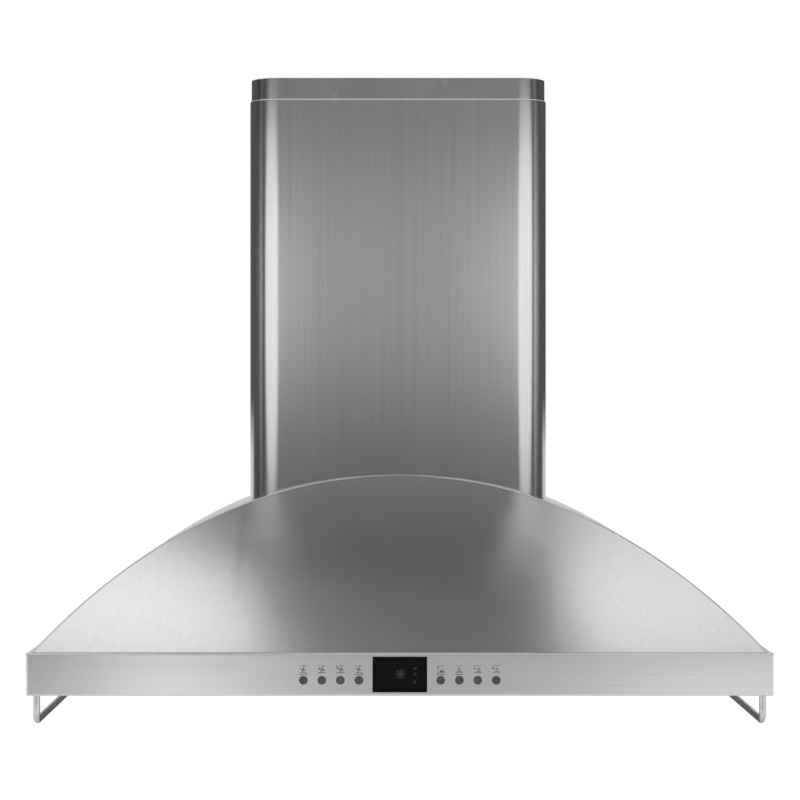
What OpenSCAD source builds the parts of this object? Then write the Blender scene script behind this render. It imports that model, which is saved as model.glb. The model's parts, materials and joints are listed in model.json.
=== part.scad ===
/* [Canopy] */
// Width of the rim across the front
hood_w = 760; // [700:1:900]
// Depth from the wall to the front of the rim
hood_d = 500; // [480:1:560]
// Height of the rim
band_h = 43.5; // [42:0.5:60]
// Height of the arch's crest above the foot of the rim
arch_top = 216; // [205:1:240]
// Ledge between the side of the rim and the foot of the arch
side_ledge = 5.4; // [3:0.1:10]
// Ledge between the front of the rim and the foot of the sloping face
front_ledge = 4; // [3:0.1:8]
// Ledge between the front of the chimney and the front edge of the arch's crest
crest_ledge = 6; // [4:0.5:20]
// Ledge of the arch inside the front of the chimney
opening_front = 8; // [6:1:20]
// Ledge of the arch inside the sides of the chimney
opening_side = 50; // [44:1:60]
// Ledge of the arch at the wall
opening_back = 12; // [8:1:20]
// Thickness of the canopy's sheet steel
sheet = 1; // [0.8:0.1:1.2]

/* [Rim] */
// Radius of the rim's front corners
corner_r = 2.5; // [2:0.1:5]
// Depth of the fascia's side returns and top flange
fascia_side = 12; // [10:0.5:16]
// Depth of the fascia's bottom flange
front_flange = 30; // [28:0.5:34]
// Width of the side and rear bottom flanges
flange_w = 13; // [12:0.5:18]
// Width of the side and rear top flanges
top_flange = 18; // [14:0.5:24]

/* [Rails] */
// Diameter of the rail's rod
rod_d = 7; // [5:0.05:8]
// Distance from the front of the rim to the front post
rail_front = 30; // [22:1:60]
// Distance from the wall to the rear post
rail_back = 70; // [40:1:140]
// Drop from the foot of the rim to the middle of the rod
rail_drop = 29.7; // [20:0.1:50]
// Radius of the rod's bends, at its middle line
rail_bend = 12; // [9:0.5:16]
// Length of the rod's threaded end inside the rim
rail_stud = 12; // [9:1:16]
// Width of the rail nuts across their flats
nut_w = 10.4; // [9:0.1:11]
// Gap between a rail nut and the side of the rim
nut_gap = 0.3; // [0.2:0.1:1]
// Height of the rail nuts
nut_h = 5; // [3:0.5:7]

/* [Chimney] */
// Width of the lower chimney cover
chim_w = 337.5; // [320:0.5:380]
// Depth of the lower chimney cover
chim_d = 240; // [236:1:260]
// Radius of the chimney's front corners
chim_r = 34; // [10:1:45]
// Height of the lower cover's top edge above the foot of the rim
chim_top = 640; // [600:1:700]
// Length of the upper cover
sleeve_len = 354; // [310:1:380]
// Length of the upper cover that stands out above the lower cover at rest
sleeve_show = 24; // [22:1:40]
// Gap between the lower and the upper cover
sleeve_gap = 0.5; // [0.4:0.1:1]
// Width of the covers' rear returns
return_w = 12; // [8:0.5:16]
// Height of the ceiling bracket
bracket_h = 32; // [28:1:45]
// Depth of the ceiling bracket's wings
bracket_wing = 32; // [28:1:40]
// Distance between the ceiling bracket's two wall holes
bracket_pitch = 120; // [80:5:220]
// Radius of the ceiling bracket's wall holes
bracket_hole_r = 3; // [2:0.25:4]

/* [Wall fixing] */
// Distance across the canopy's wall holes
wall_pitch_x = 220; // [200:5:230]
// Distance up between the canopy's wall holes
wall_pitch_z = 90; // [60:5:95]
// Height of the middle of the wall holes above the foot of the rim
wall_mid_z = 115; // [110:1:125]
// Radius of the wall holes
wall_hole_r = 4; // [3:0.25:5]

/* [Controls] */
// Diameter of a button
button_d = 7.6; // [6:0.1:9]
// Distance between neighbouring buttons
button_pitch = 18.8; // [16:0.1:20]
// Distance from the middle of the hood to the nearest button
button_start = 41.6; // [40:0.1:46]
// Height of the buttons' middle above the foot of the rim
button_z = 15.9; // [13:0.1:20]
// How far a button stands out of the fascia
button_proud = 1.2; // [1:0.1:2.5]
// Travel of a button
button_travel = 0.8; // [0.5:0.1:0.9]
// Radial gap round a button
button_gap = 0.3; // [0.2:0.05:0.5]
// Width of the display window
window_w = 54.7; // [45:0.1:58]
// Height of the display window
window_h = 35.4; // [28:0.1:36]
// Thickness of the display window
window_t = 2.6; // [2:0.1:3]
// How far the display window stands out of the fascia
window_proud = 0.3; // [0.1:0.1:0.6]
// Half width of the control housing
control_half = 112; // [111:1:130]
// Depth of the control housing
control_d = 24; // [20:1:25]
// Wall of the control housing
control_wall = 1.5; // [1:0.1:2]

/* [Underside] */
// Height of the pan's floor above the foot of the rim
pan_z = 14; // [10:0.5:18]
// Strip of pan in front of the filters, which holds the lamps
lamp_strip = 77.7; // [76:0.1:90]
// Strip of pan behind the filters
rear_strip = 48.7; // [40:0.1:80]
// Strip of pan beside the filters
side_strip = 66.7; // [50:0.1:90]
// Gap between the two filters
filter_mid = 12; // [11:0.5:20]
// Thickness of a filter
filter_t = 14; // [14:0.5:18]
// Width of a filter frame's side and rear bars
filter_bar = 14; // [11:0.5:18]
// Width of a filter frame's front bar
filter_front_bar = 30; // [28:0.5:36]
// Play round a filter in its opening
filter_play = 2; // [1.5:0.1:2.5]
// Play behind a filter, which its rear edge swings through
filter_swing = 5; // [4.5:0.1:8]
// How far a filter hangs below the pan's floor
filter_low = 2; // [1:0.1:2.5]
// Height of the turned-up walls round the filter openings
opening_wall = 15; // [12:0.5:20]
// Radius of the filters' pivot pins
pivot_r = 2; // [1.5:0.1:2.2]
// Width of one baffle channel
baffle_w = 20; // [16:0.5:24]
// Gap between neighbouring channels of one layer
baffle_gap = 9.5; // [8:0.5:12]
// Thickness of the baffles' sheet
baffle_t = 0.8; // [0.6:0.1:1.2]
// Width of a latch
latch_w = 24; // [18:1:26]
// Thickness of a latch's tongue
latch_t = 2.6; // [2:0.1:3]
// How far a latch's tongue reaches over the pan
latch_reach = 4; // [3:0.5:4.5]
// Travel of a latch
latch_travel = 5; // [5:0.5:6]

/* [Lamps] */
// Distance from the middle of the hood to a lamp
lamp_x = 250; // [150:5:300]
// How far the lamps lie in front of the middle of their strip
lamp_shift = 3; // [0:0.5:4]
// Radius of a lamp's hole in the pan
lamp_hole_r = 29; // [24:0.5:30]
// Width of a lamp's visible trim ring
lamp_trim = 6; // [5:0.5:8]
// Height of a lamp's can
lamp_can_h = 30; // [24:1:36]
// Thickness of a lamp's lens
lens_t = 2; // [1.5:0.1:2.2]

/* [Blower] */
// Height of the wheel's axis above the foot of the rim
blower_z = 140; // [138:1:146]
// Distance from the wall to the wheel's axis
blower_y = 130; // [126:1:134]
// Radius of the wheel
wheel_r = 72; // [66:0.5:74]
// Length of the wheel
wheel_w = 96; // [86:1:100]
// Depth of the wheel's blades
blade_d = 13; // [10:0.5:14]
// Lean of the blades
blade_lean = 22; // [10:1:30]
// Number of blades
blade_n = 28; // [16:1:32]
// Inner width of the scroll
scroll_w = 112; // [108:1:116]
// Radius of the scroll where it starts
scroll_r0 = 80; // [78:0.5:84]
// Radius of the scroll where it ends
scroll_r1 = 96; // [92:0.5:98]
// Height of the scroll's outlet above the wheel's axis
scroll_top = 100; // [98:1:108]
// Thickness of the scroll's walls
scroll_t = 1.2; // [1:0.1:1.5]
// Radius of the scroll's two inlets
inlet_r = 60; // [57:0.5:64]
// Radius of the motor
motor_r = 42; // [36:0.5:45]
// Length of the motor
motor_len = 80; // [70:1:84]
// Distance from the middle of the wheel to the motor's near end
motor_inset = 20; // [16:1:22]
// Radius of the motor's shaft
shaft_r = 4; // [3:0.25:5]
// Running clearance round shafts and pins
run_gap = 0.05; // [0.03:0.01:0.09]

/* [Duct] */
// Outer radius of the duct collar
collar_r = 74.5; // [72:0.5:76]
// Length of the duct collar above its flange
collar_len = 38; // [34:1:42]
// Thickness of the duct collar
collar_t = 1; // [0.8:0.1:1.2]
// Height of the piece between the scroll and the collar
transition_h = 45; // [36:1:60]
// Distance from the wall to the middle of the duct
duct_y = 150; // [146:1:152]
// Width of the duct collar's flange
collar_flange = 6; // [4:0.5:8]
// Height of the damper's pin above the collar's flange
damper_rise = 14; // [10:0.5:18]
// Radius of the damper's pin
damper_pin_r = 2; // [1.5:0.1:2.2]
// Thickness of the damper's flaps
flap_t = 1; // [0.8:0.1:1.2]

/* [Electrics] */
// Width of the junction box
jbox_w = 80; // [60:1:90]
// Height of the junction box
jbox_h = 56; // [46:1:60]
// Depth of the junction box
jbox_d = 44; // [36:1:60]
// Height of the electrical boxes above the foot of the rim
jbox_z = 65; // [60:1:70]
// Distance from the middle of the hood to the middle of the junction box
jbox_x = 225; // [200:1:235]
// Radius of the cable inlet's bore
gland_r = 6; // [5:0.25:7]
// Wall of the cable inlet
gland_wall = 4; // [3:0.5:5]
// Length of the cable inlet
gland_len = 9; // [7:0.5:12]
// Width of the lamp driver
driver_w = 78; // [50:1:84]
// Height of the lamp driver
driver_h = 40; // [30:1:50]
// Depth of the lamp driver
driver_d = 28; // [20:1:36]
// Radius of the run capacitor
cap_r = 16; // [12:0.5:17]
// Distance from the middle of the hood to the run capacitor
cap_x = 150; // [146:1:154]
// Length of the run capacitor
cap_len = 62; // [40:1:70]
// Radius of the wiring
wire_r = 3; // [2:0.25:4]

/* [Hidden] */
$fn = 64;
fit = 0.2;
seat = 0.3;
cut = 1;
nut_corner = 0.6;
head_r = 3;
head_t = 1.4;
screw_len = 7;
screw_front = 90;
screw_back = 110;
screw_side = 190;
blade_t = 1.2;
blade_inset = 0.5;
ring_t = 2;
blade_len = wheel_w - 2 * ring_t - 2 * run_gap;
disc_back = 9;
hub_r = 12;
hub_len = 22;
hub_back = 14;
hub_play = 0.02;
motor_cap = 8;
motor_step = 6;
motor_ring = 8;
arm_w = 14;
arm_len = 76;
arm_turns = [40, 160, 280];
shaft_in = 30;
shaft_out = 10;
blower_bracket_t = 1.5;
blower_bracket_w = 16;
blower_bracket_below = 50;
blower_bracket_ledge = 4;
knuckle_x = [-58, 14];
knuckle_len = 22;
flap_gap = 0.7;
flap_play = 2;
module_t = 7;
chip_t = 1;
chip_r = 2.5;
clip_t = 1.5;
clip_h = 12;
clip_wing = 12;
cap_stud = 6;
cover_screw = 8;
ear_w = 8;
ear_t = 2;
ear_h = 12;
switch_half = 3;
switch_t = 3;
switch_gap = 0.4;
stem_len = 0.6;
stem_r = 1.6;
post_x = [-90, -40, 40, 90];
post_half = 6;
post_z = 8;
post_h = 8;
window_edge = 3;
button_lip = 1.2;
tab_t = 3;
tab_in = 4;
baffle_inset = 0.5;
wire_exit = 12;
wire_side = 60;

face_foot_y = -(hood_d - front_ledge);
crest_y = -(chim_d + crest_ledge);
face_rise = arch_top - band_h;
face_angle = atan2(face_rise, crest_y - face_foot_y);
foot_half = hood_w / 2 - side_ledge;
arch_r = (foot_half * foot_half + face_rise * face_rise) / (2 * face_rise);
arch_z = arch_top - arch_r;
rim_front_y = -(hood_d - fascia_side) + fit;
rim_back_y = -(sheet + fit);

pan_front_y = -(hood_d - front_flange) + seat;
pan_back_y = -(flange_w + seat);
pan_half = hood_w / 2 - flange_w - seat;
lip_z = sheet + seat;
lip_w = 8;
lip_gap = 2;
rail_inset = sheet + nut_w / 2 + nut_gap;
rail_post_y = [-(hood_d - rail_front), -rail_back];
pan_screw_y = [-(hood_d - screw_front), -screw_back];
pan_screw_x = [-screw_side, screw_side];
screw_r = 1.5;

filter_w = pan_half - side_strip - filter_mid / 2;
filter_x = (filter_w + filter_mid) / 2;
filter_y0 = pan_front_y + lamp_strip;
filter_y1 = pan_back_y - rear_strip;
filter_l = filter_y1 - filter_y0;
filter_z = pan_z - filter_low;
pivot_y = filter_y1 - 4;
pivot_z = pan_z + sheet + 3;
pocket_w = latch_w + 12;
pocket_l = latch_travel + 15;
pocket_y = filter_y0 + 6;
tab_y = pocket_y + tab_in;
tongue_z = pan_z + sheet + fit;
lamp_y = pan_front_y + lamp_strip / 2 - lamp_shift;

chim_low = arch_z + sqrt(arch_r * arch_r - chim_w * chim_w / 4) - cut;
sleeve_w = chim_w - 2 * sheet - 2 * sleeve_gap;
sleeve_front = chim_d - sheet - sleeve_gap;
sleeve_back = sheet + sleeve_gap;
sleeve_top = chim_top + sleeve_show;
bracket_z = sleeve_top - 2 - bracket_h;
bracket_half = sleeve_w / 2 - sheet - fit;
bracket_y = sleeve_back + sheet + fit;
sleeve_screw_z = chim_top + sleeve_show / 2;

button_y = -(hood_d + button_proud);
fascia_in = -(hood_d - sheet);
button_flange = 1.1;
board_t = 1.6;
board_edge = 4;
board_y = fascia_in + seat + button_flange + button_travel + switch_t + stem_len + switch_gap;
window_back = -(hood_d + window_proud) + window_t;

outlet_z = blower_z + scroll_top;
collar_z = outlet_z + seat + transition_h;
damper_z = collar_z + sheet + damper_rise;
opening_half = chim_w / 2 - opening_side;
motor_x0 = -(motor_len + motor_inset);
back_in = -(sheet + seat);

// A box from its low corner to its high corner
module span(a, b) translate(a) cube(b - a);

// A cylinder that runs along +Y from p
module rod_y(p, len, r) translate(p) rotate([-90, 0, 0]) cylinder(h = len, r = r);

// A cylinder that runs along +X from p
module rod_x(p, len, r) translate(p) rotate([0, 90, 0]) cylinder(h = len, r = r);

// The round barrel of the canopy, filled, from the front of the rim to the wall
module barrel(r) rod_y([0, -hood_d, arch_z], hood_d, r, $fn = 256);

// All the space in front of the sloping face
module face_space() translate([0, face_foot_y, band_h]) rotate([face_angle, 0, 0])
    span([-hood_w, -hood_d, 0], [hood_w, 2 * hood_d, hood_d]);

// All the space above the rim
module above_rim(z) span([-hood_w, -2 * hood_d, z], [hood_w, cut, 2 * arch_top]);

// The four wall holes
module wall_holes() for (x = [-1, 1], z = [-1, 1])
    rod_y([x * wall_pitch_x / 2, -3 * sheet, wall_mid_z + z * wall_pitch_z / 2], 5 * sheet, wall_hole_r);

module canopy_face() color("silver") intersection() {
    translate([0, face_foot_y, band_h]) rotate([face_angle, 0, 0])
        span([-hood_w / 2, -hood_d / 4, -sheet], [hood_w / 2, hood_d, 0]);
    barrel(arch_r - sheet - fit);
    above_rim(band_h);
}

module canopy_arch() color("silver") difference() {
    intersection() {
        barrel(arch_r);
        above_rim(band_h);
    }
    barrel(arch_r - sheet);
    face_space();
    span([-opening_half, -(chim_d - opening_front), 0], [opening_half, -opening_back, 2 * arch_top]);
}

module canopy_back() color("silver") difference() {
    intersection() {
        barrel(arch_r - sheet - fit);
        span([-hood_w, -sheet, band_h], [hood_w, 0, arch_top]);
    }
    wall_holes();
    rod_y([jbox_x, -3 * sheet, jbox_z + jbox_h / 2], 5 * sheet, gland_r + gland_wall + fit);
}

// The plan outline of the fascia, drawn in by t all round and open at the back
module fascia_plan(t, back) {
    translate([-(hood_w / 2 - t), -(hood_d - corner_r)])
        square([hood_w - 2 * t, fascia_side - corner_r + back]);
    translate([-(hood_w / 2 - corner_r), -(hood_d - t)])
        square([hood_w - 2 * corner_r, fascia_side - t + back]);
    for (s = [-1, 1]) translate([s * (hood_w / 2 - corner_r), -(hood_d - corner_r)]) circle(corner_r - t);
}

// The middle of button i, counted from the left
function button_x(i) = i < 5 ? -(button_start + (4 - i) * button_pitch) : button_start + (i - 5) * button_pitch;

module control_fascia() color("silver") {
    difference() {
        linear_extrude(band_h) fascia_plan(0, 0);
        translate([0, 0, sheet]) linear_extrude(band_h - 2 * sheet) fascia_plan(sheet, cut);
        for (i = [1:8])
            rod_y([button_x(i), -hood_d - cut, button_z], sheet + 2 * cut, button_d / 2 + button_gap);
        translate([-window_w / 2 - fit, -hood_d - cut, (band_h - window_h) / 2 - fit])
            cube([window_w + 2 * fit, sheet + 2 * cut, window_h + 2 * fit]);
    }
    difference() {
        span([-pan_half, rim_front_y - fit, 0], [pan_half, -(hood_d - front_flange), sheet]);
        for (x = pan_screw_x) translate([x, pan_front_y - lip_w / 2, -cut]) cylinder(h = 3 * sheet, r = screw_r + fit);
    }
}

// The right side of the rim
module rim_side() color("silver") difference() {
    union() {
        span([hood_w / 2 - sheet, rim_front_y, 0], [hood_w / 2, rim_back_y, band_h]);
        span([hood_w / 2 - flange_w, rim_front_y, 0], [hood_w / 2, rim_back_y, sheet]);
        span([hood_w / 2 - top_flange, rim_front_y, band_h - sheet], [hood_w / 2, rim_back_y, band_h]);
    }
    for (y = rail_post_y)
        translate([hood_w / 2 - rail_inset, y, -cut]) cylinder(h = 3 * sheet, r = rod_d / 2 + fit);
    for (y = pan_screw_y) translate([pan_half + lip_w / 2, y, -cut]) cylinder(h = 3 * sheet, r = screw_r + fit);
}

module rim_left() mirror([1, 0, 0]) rim_side();
module rim_right() rim_side();

module rim_rear() color("silver") {
    span([-hood_w / 2, -sheet, 0], [hood_w / 2, 0, band_h]);
    span([-pan_half, -flange_w, 0], [pan_half, 0, sheet]);
    span([-(hood_w / 2 - top_flange - fit), -top_flange, band_h - sheet], [hood_w / 2 - top_flange - fit, 0, band_h]);
}

// A rectangular tube with walls t thick outside the box from a to b
module wall_round(a, b, t) difference() {
    span([a.x - t, a.y - t, a.z], [b.x + t, b.y + t, b.z]);
    span([a.x, a.y, a.z - cut], [b.x, b.y, b.z + cut]);
}

// The open box of the filter opening on side s, from z0 to z1
module filter_opening(s, z0, z1) span(
    [s * filter_x - filter_w / 2 - filter_play, filter_y0 - filter_play, z0],
    [s * filter_x + filter_w / 2 + filter_play, filter_y1 + filter_swing, z1]
);

module underside_pan() color("gainsboro") difference() {
    union() {
        span([-pan_half, pan_front_y, pan_z], [pan_half, pan_back_y, pan_z + sheet]);
        wall_round([-pan_half + sheet, pan_front_y + sheet, lip_z], [pan_half - sheet, pan_back_y - sheet, pan_z + sheet / 2], sheet);
        for (s = [-1, 1]) {
            span(
                [s * (pan_half + lip_w / 2) - lip_w / 2 - sheet / 2, pan_front_y, lip_z],
                [s * (pan_half + lip_w / 2) + lip_w / 2 + sheet / 2, pan_back_y, lip_z + sheet]
            );
            wall_round(
                [s * filter_x - filter_w / 2 - filter_play, filter_y0 - filter_play, pan_z],
                [s * filter_x + filter_w / 2 + filter_play, filter_y1 + filter_swing, pan_z + opening_wall],
                sheet
            );
        }
        for (m = [0, 1]) mirror([m, 0, 0]) span(
            [control_half + lip_gap, pan_front_y - lip_w, lip_z], [pan_half, pan_front_y + sheet, lip_z + sheet]
        );
    }
    for (s = [-1, 1]) {
        for (y = rail_post_y) translate([s * (hood_w / 2 - rail_inset), y, 0]) cylinder(h = pan_z, r = nut_w / 2 + lip_gap);
        filter_opening(s, 0, arch_top);
        translate([s * filter_x - latch_w / 2 - 2, filter_y0 - filter_play - 2 * sheet, pan_z + sheet])
            cube([latch_w + 4, 3 * sheet, latch_t + 3]);
        rod_x([s * filter_x - filter_w / 2 - 3 * sheet - filter_play, pivot_y, pivot_z],
            filter_w + 6 * sheet + 2 * filter_play, pivot_r + run_gap);
        translate([s * lamp_x, lamp_y, 0]) cylinder(h = pan_z + 3 * sheet, r = lamp_hole_r);
        for (y = pan_screw_y) translate([s * (pan_half + lip_w / 2), y, 0]) cylinder(h = 5 * sheet, r = screw_r + fit);
    }
    for (x = pan_screw_x) translate([x, pan_front_y - lip_w / 2, 0]) cylinder(h = 5 * sheet, r = screw_r + fit);
}

// A round-headed screw that points up from the underside of the rim
module pan_screw() {
    translate([0, 0, -head_t]) cylinder(h = head_t, r = head_r);
    translate([0, 0, -cut]) cylinder(h = screw_len + cut, r = screw_r);
}

module pan_screws() color("dimgray") {
    for (s = [-1, 1], y = pan_screw_y) translate([s * (pan_half + lip_w / 2), y, 0]) pan_screw();
    for (x = pan_screw_x) translate([x, pan_front_y - lip_w / 2, 0]) pan_screw();
}

// A quarter bend of the rod, from straight down to along -Y
module rod_bend() rotate([0, 90, 0]) rotate_extrude(angle = 90) translate([rail_bend, 0]) circle(rod_d / 2, $fn = 32);

module rail() color("silver") translate([hood_w / 2 - rail_inset, 0, 0]) {
    post = rail_stud + rail_drop - rail_bend;
    front = rail_post_y[0];
    for (y = rail_post_y) translate([0, y, -(rail_drop - rail_bend)]) cylinder(h = post, r = rod_d / 2, $fn = 32);
    rod_y([0, front + rail_bend, -rail_drop], -rail_back - front - 2 * rail_bend, rod_d / 2, $fn = 32);
    translate([0, -rail_back - rail_bend, -rail_drop + rail_bend]) rod_bend();
    translate([0, front + rail_bend, -rail_drop + rail_bend]) mirror([0, 1, 0]) rod_bend();
}

module rail_left() mirror([1, 0, 0]) rail();
module rail_right() rail();

module rail_nuts() color("dimgray") for (s = [-1, 1], y = rail_post_y)
    translate([s * (hood_w / 2 - rail_inset), y, sheet]) difference() {
        intersection() {
            rotate([0, 0, 30]) cylinder(h = nut_h, r = nut_w / sqrt(3), $fn = 6);
            translate([0, 0, -cut]) cylinder(h = nut_h + 2 * cut, r = nut_w / 2 + nut_corner);
        }
        translate([0, 0, -cut]) cylinder(h = nut_h + 2 * cut, r = rod_d / 2 + run_gap);
    }

// The plan outline of a chimney cover, open at the back
module cover_plan(w, front, back, r) {
    translate([-w / 2, -(front - r)]) square([w, front - r - back]);
    translate([-(w / 2 - r), -front]) square([w - 2 * r, r + cut]);
    for (s = [-1, 1]) translate([s * (w / 2 - r), -(front - r)]) circle(r);
}

// A folded cover with rounded front corners and returns at the back
module cover(w, front, back, r, z0, z1) {
    difference() {
        translate([0, 0, z0]) linear_extrude(z1 - z0) cover_plan(w, front, back, r);
        translate([0, 0, z0 - cut]) linear_extrude(z1 - z0 + 2 * cut)
            cover_plan(w - 2 * sheet, front - sheet, back + sheet, r - sheet);
        span([-(w / 2 - return_w), -(back + 3 * sheet), z0 - cut], [w / 2 - return_w, cut, z1 + cut]);
    }
}

module chimney_lower_cover() color("lightgray") difference() {
    cover(chim_w, chim_d, 0, chim_r, chim_low, chim_top);
    barrel(arch_r + fit);
}

module chimney_upper_cover() color("lightgray") difference() {
    cover(sleeve_w, sleeve_front, sleeve_back, chim_r - sheet - sleeve_gap, sleeve_top - sleeve_len, sleeve_top);
    rod_x([-sleeve_w, -(bracket_y + bracket_wing / 2), sleeve_screw_z], 2 * sleeve_w, screw_r + fit);
}

module ceiling_bracket() color("gray") difference() {
    union() {
        span([-bracket_half, -(bracket_y + 2 * sheet), bracket_z], [bracket_half, -bracket_y, bracket_z + bracket_h]);
        for (s = [-1, 1]) span(
            [s * (bracket_half - sheet) - sheet, -(bracket_y + bracket_wing), bracket_z],
            [s * (bracket_half - sheet) + sheet, -bracket_y, bracket_z + bracket_h]
        );
    }
    for (x = [-1, 1])
        rod_y([x * bracket_pitch / 2, -(bracket_y + 4 * sheet), bracket_z + bracket_h / 2], 6 * sheet, bracket_hole_r);
    rod_x([-sleeve_w, -(bracket_y + bracket_wing / 2), sleeve_screw_z], 2 * sleeve_w, screw_r + run_gap);
}

module sleeve_screws() color("dimgray") for (s = [0, 1]) mirror([s, 0, 0])
    translate([sleeve_w / 2, -(bracket_y + bracket_wing / 2), sleeve_screw_z]) {
        rod_x([fit, 0, 0], head_t, head_r);
        rod_x([-screw_len, 0, 0], screw_len + fit, screw_r);
    }

// A point of the scroll's spiral, in depth and height from the wheel's axis, turned a from straight up towards the wall
function spiral(a, grow) = let (r = scroll_r0 + (scroll_r1 - scroll_r0) * a / 270 + grow) [r * sin(a), r * cos(a)];

// A block with the scroll's side view, grown by t, from x over a width of w
module scroll_block(x, w, t, top) translate([x, -blower_y, blower_z]) rotate([90, 0, 90]) linear_extrude(w) polygon(concat(
    [[t, scroll_r0 + t]],
    [for (a = [10:10:270]) spiral(a, t)],
    [[-(scroll_r1 + t), top], [t, top]]
));

module blower_housing() color("gray") difference() {
    scroll_block(-scroll_w / 2 - scroll_t, scroll_w + scroll_t, scroll_t, scroll_top);
    scroll_block(-scroll_w / 2, scroll_w + cut, 0, scroll_top + cut);
    rod_x([-scroll_w, -blower_y, blower_z], scroll_w, inlet_r);
}

module blower_side_plate() color("gray") difference() {
    scroll_block(scroll_w / 2 + fit, scroll_t, scroll_t, scroll_top);
    rod_x([scroll_w / 2, -blower_y, blower_z], scroll_w, inlet_r);
}

module blower_brackets() color("silver") for (s = [0, 1]) mirror([s, 0, 0]) {
    x = scroll_w / 2 + scroll_t + 2 * fit;
    z0 = blower_z - scroll_r0;
    z1 = outlet_z - blower_bracket_below;
    span([x, -(blower_y - inlet_r + blower_bracket_ledge), z0], [x + blower_bracket_t, back_in, z1]);
    span([x, back_in - blower_bracket_t, z0], [x + blower_bracket_w, back_in, z1]);
}

// Two end rings, the blades held between them and the hub's disc, which meets the blades' inner edges
module blower_wheel() color("darkgray") translate([0, -blower_y, blower_z]) rotate([0, 90, 0]) {
    for (z = [-wheel_w / 2, wheel_w / 2 - ring_t]) translate([0, 0, z]) difference() {
        cylinder(h = ring_t, r = wheel_r);
        translate([0, 0, -cut]) cylinder(h = ring_t + 2 * cut, r = wheel_r - blade_d);
    }
    for (i = [0:blade_n - 1]) rotate([0, 0, i * 360 / blade_n])
        translate([wheel_r - blade_d + blade_inset, 0, -blade_len / 2]) rotate([0, 0, blade_lean])
            cube([blade_d - 4 * blade_inset, blade_t, blade_len]);
    difference() {
        union() {
            translate([0, 0, -disc_back]) cylinder(h = ring_t, r = wheel_r - blade_d);
            translate([0, 0, -hub_back]) cylinder(h = hub_len, r = hub_r);
        }
        translate([0, 0, -wheel_w]) cylinder(h = 2 * wheel_w, r = shaft_r + hub_play);
    }
}

module motor_shaft() color("lightsteelblue") rod_x([motor_x0 + shaft_in, -blower_y, blower_z], shaft_out - motor_x0 - shaft_in, shaft_r);

module blower_motor() color("dimgray") translate([0, -blower_y, blower_z]) difference() {
    union() {
        rod_x([motor_x0 + motor_cap, 0, 0], motor_len - 2 * motor_cap, motor_r);
        rod_x([motor_x0, 0, 0], motor_len, motor_r - motor_step);
    }
    rod_x([motor_x0 + shaft_in - 2, 0, 0], motor_len, shaft_r + run_gap);
}

module motor_bracket() color("silver")
    translate([-scroll_w / 2 - scroll_t - fit - ring_t, -blower_y, blower_z]) rotate([0, 90, 0]) difference() {
        union() {
            cylinder(h = ring_t, r = motor_r + motor_ring);
            for (a = arm_turns) rotate([0, 0, a]) translate([0, -arm_w / 2, 0]) cube([arm_len, arm_w, ring_t]);
        }
        translate([0, 0, -cut]) cylinder(h = ring_t + 2 * cut, r = motor_r + run_gap);
    }

module run_capacitor() color("white") translate([-cap_x, back_in - cap_r - clip_t, jbox_z]) {
    cylinder(h = cap_len, r = cap_r);
    translate([0, 0, cap_len]) cylinder(h = cap_stud, r = cap_r / 4);
    translate([0, 0, (cap_len - clip_h) / 2]) difference() {
        union() {
            cylinder(h = clip_h, r = cap_r + clip_t - seat);
            span([-cap_r - clip_wing, cap_r, 0], [cap_r + clip_wing, cap_r + clip_t, clip_h]);
        }
        translate([0, 0, -cut]) cylinder(h = clip_h + 2 * cut, r = cap_r);
    }
}

// The funnel between the scroll's outlet and the round collar, drawn in by t
module funnel(t, over) hull() {
    span(
        [-scroll_w / 2 - scroll_t + t, -(blower_y + scroll_r1 + scroll_t) + t, outlet_z + seat - over],
        [scroll_w / 2 + scroll_t - t, -blower_y + scroll_t - t, outlet_z + seat + 0.1]
    );
    translate([0, -duct_y, collar_z - 0.1]) cylinder(h = 0.1 + over, r = collar_r - t, $fn = 32);
}

module duct_transition() color("silver") difference() {
    funnel(0, 0);
    funnel(scroll_t, cut);
}

module duct_collar() color("silver") translate([0, -duct_y, collar_z + fit]) difference() {
    union() {
        cylinder(h = sheet, r = collar_r + collar_flange, $fn = 128);
        cylinder(h = sheet + collar_len, r = collar_r, $fn = 128);
    }
    translate([0, 0, -cut]) cylinder(h = collar_len + 3 * cut, r = collar_r - collar_t, $fn = 128);
    rod_x([-2 * collar_r, 0, damper_z - collar_z - fit], 4 * collar_r, damper_pin_r + run_gap);
}

module damper_pin() color("silver") rod_x([-collar_r + fit, -duct_y, damper_z], 2 * (collar_r - fit), damper_pin_r);

// One half of the damper, which lies on the wall side of its pin and hangs on its knuckles
module flap() {
    knuckle_r = damper_pin_r + 1.5;
    low = -knuckle_r;
    difference() {
        union() {
            intersection() {
                translate([0, 0, low]) cylinder(h = flap_t, r = collar_r - collar_t - flap_play);
                span([-collar_r, knuckle_r + flap_gap, low], [collar_r, collar_r, low + flap_t]);
            }
            for (x = knuckle_x) {
                rod_x([x, 0, 0], knuckle_len, knuckle_r);
                span([x, 0, low], [x + knuckle_len, knuckle_r + flap_gap + cut, low + flap_t]);
            }
        }
        rod_x([-collar_r, 0, 0], 2 * collar_r, damper_pin_r + run_gap);
    }
}

module damper_flap_front() color("gray") translate([0, -duct_y, damper_z]) rotate([0, 0, 180]) flap();
module damper_flap_rear() color("gray") translate([0, -duct_y, damper_z]) flap();

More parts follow.
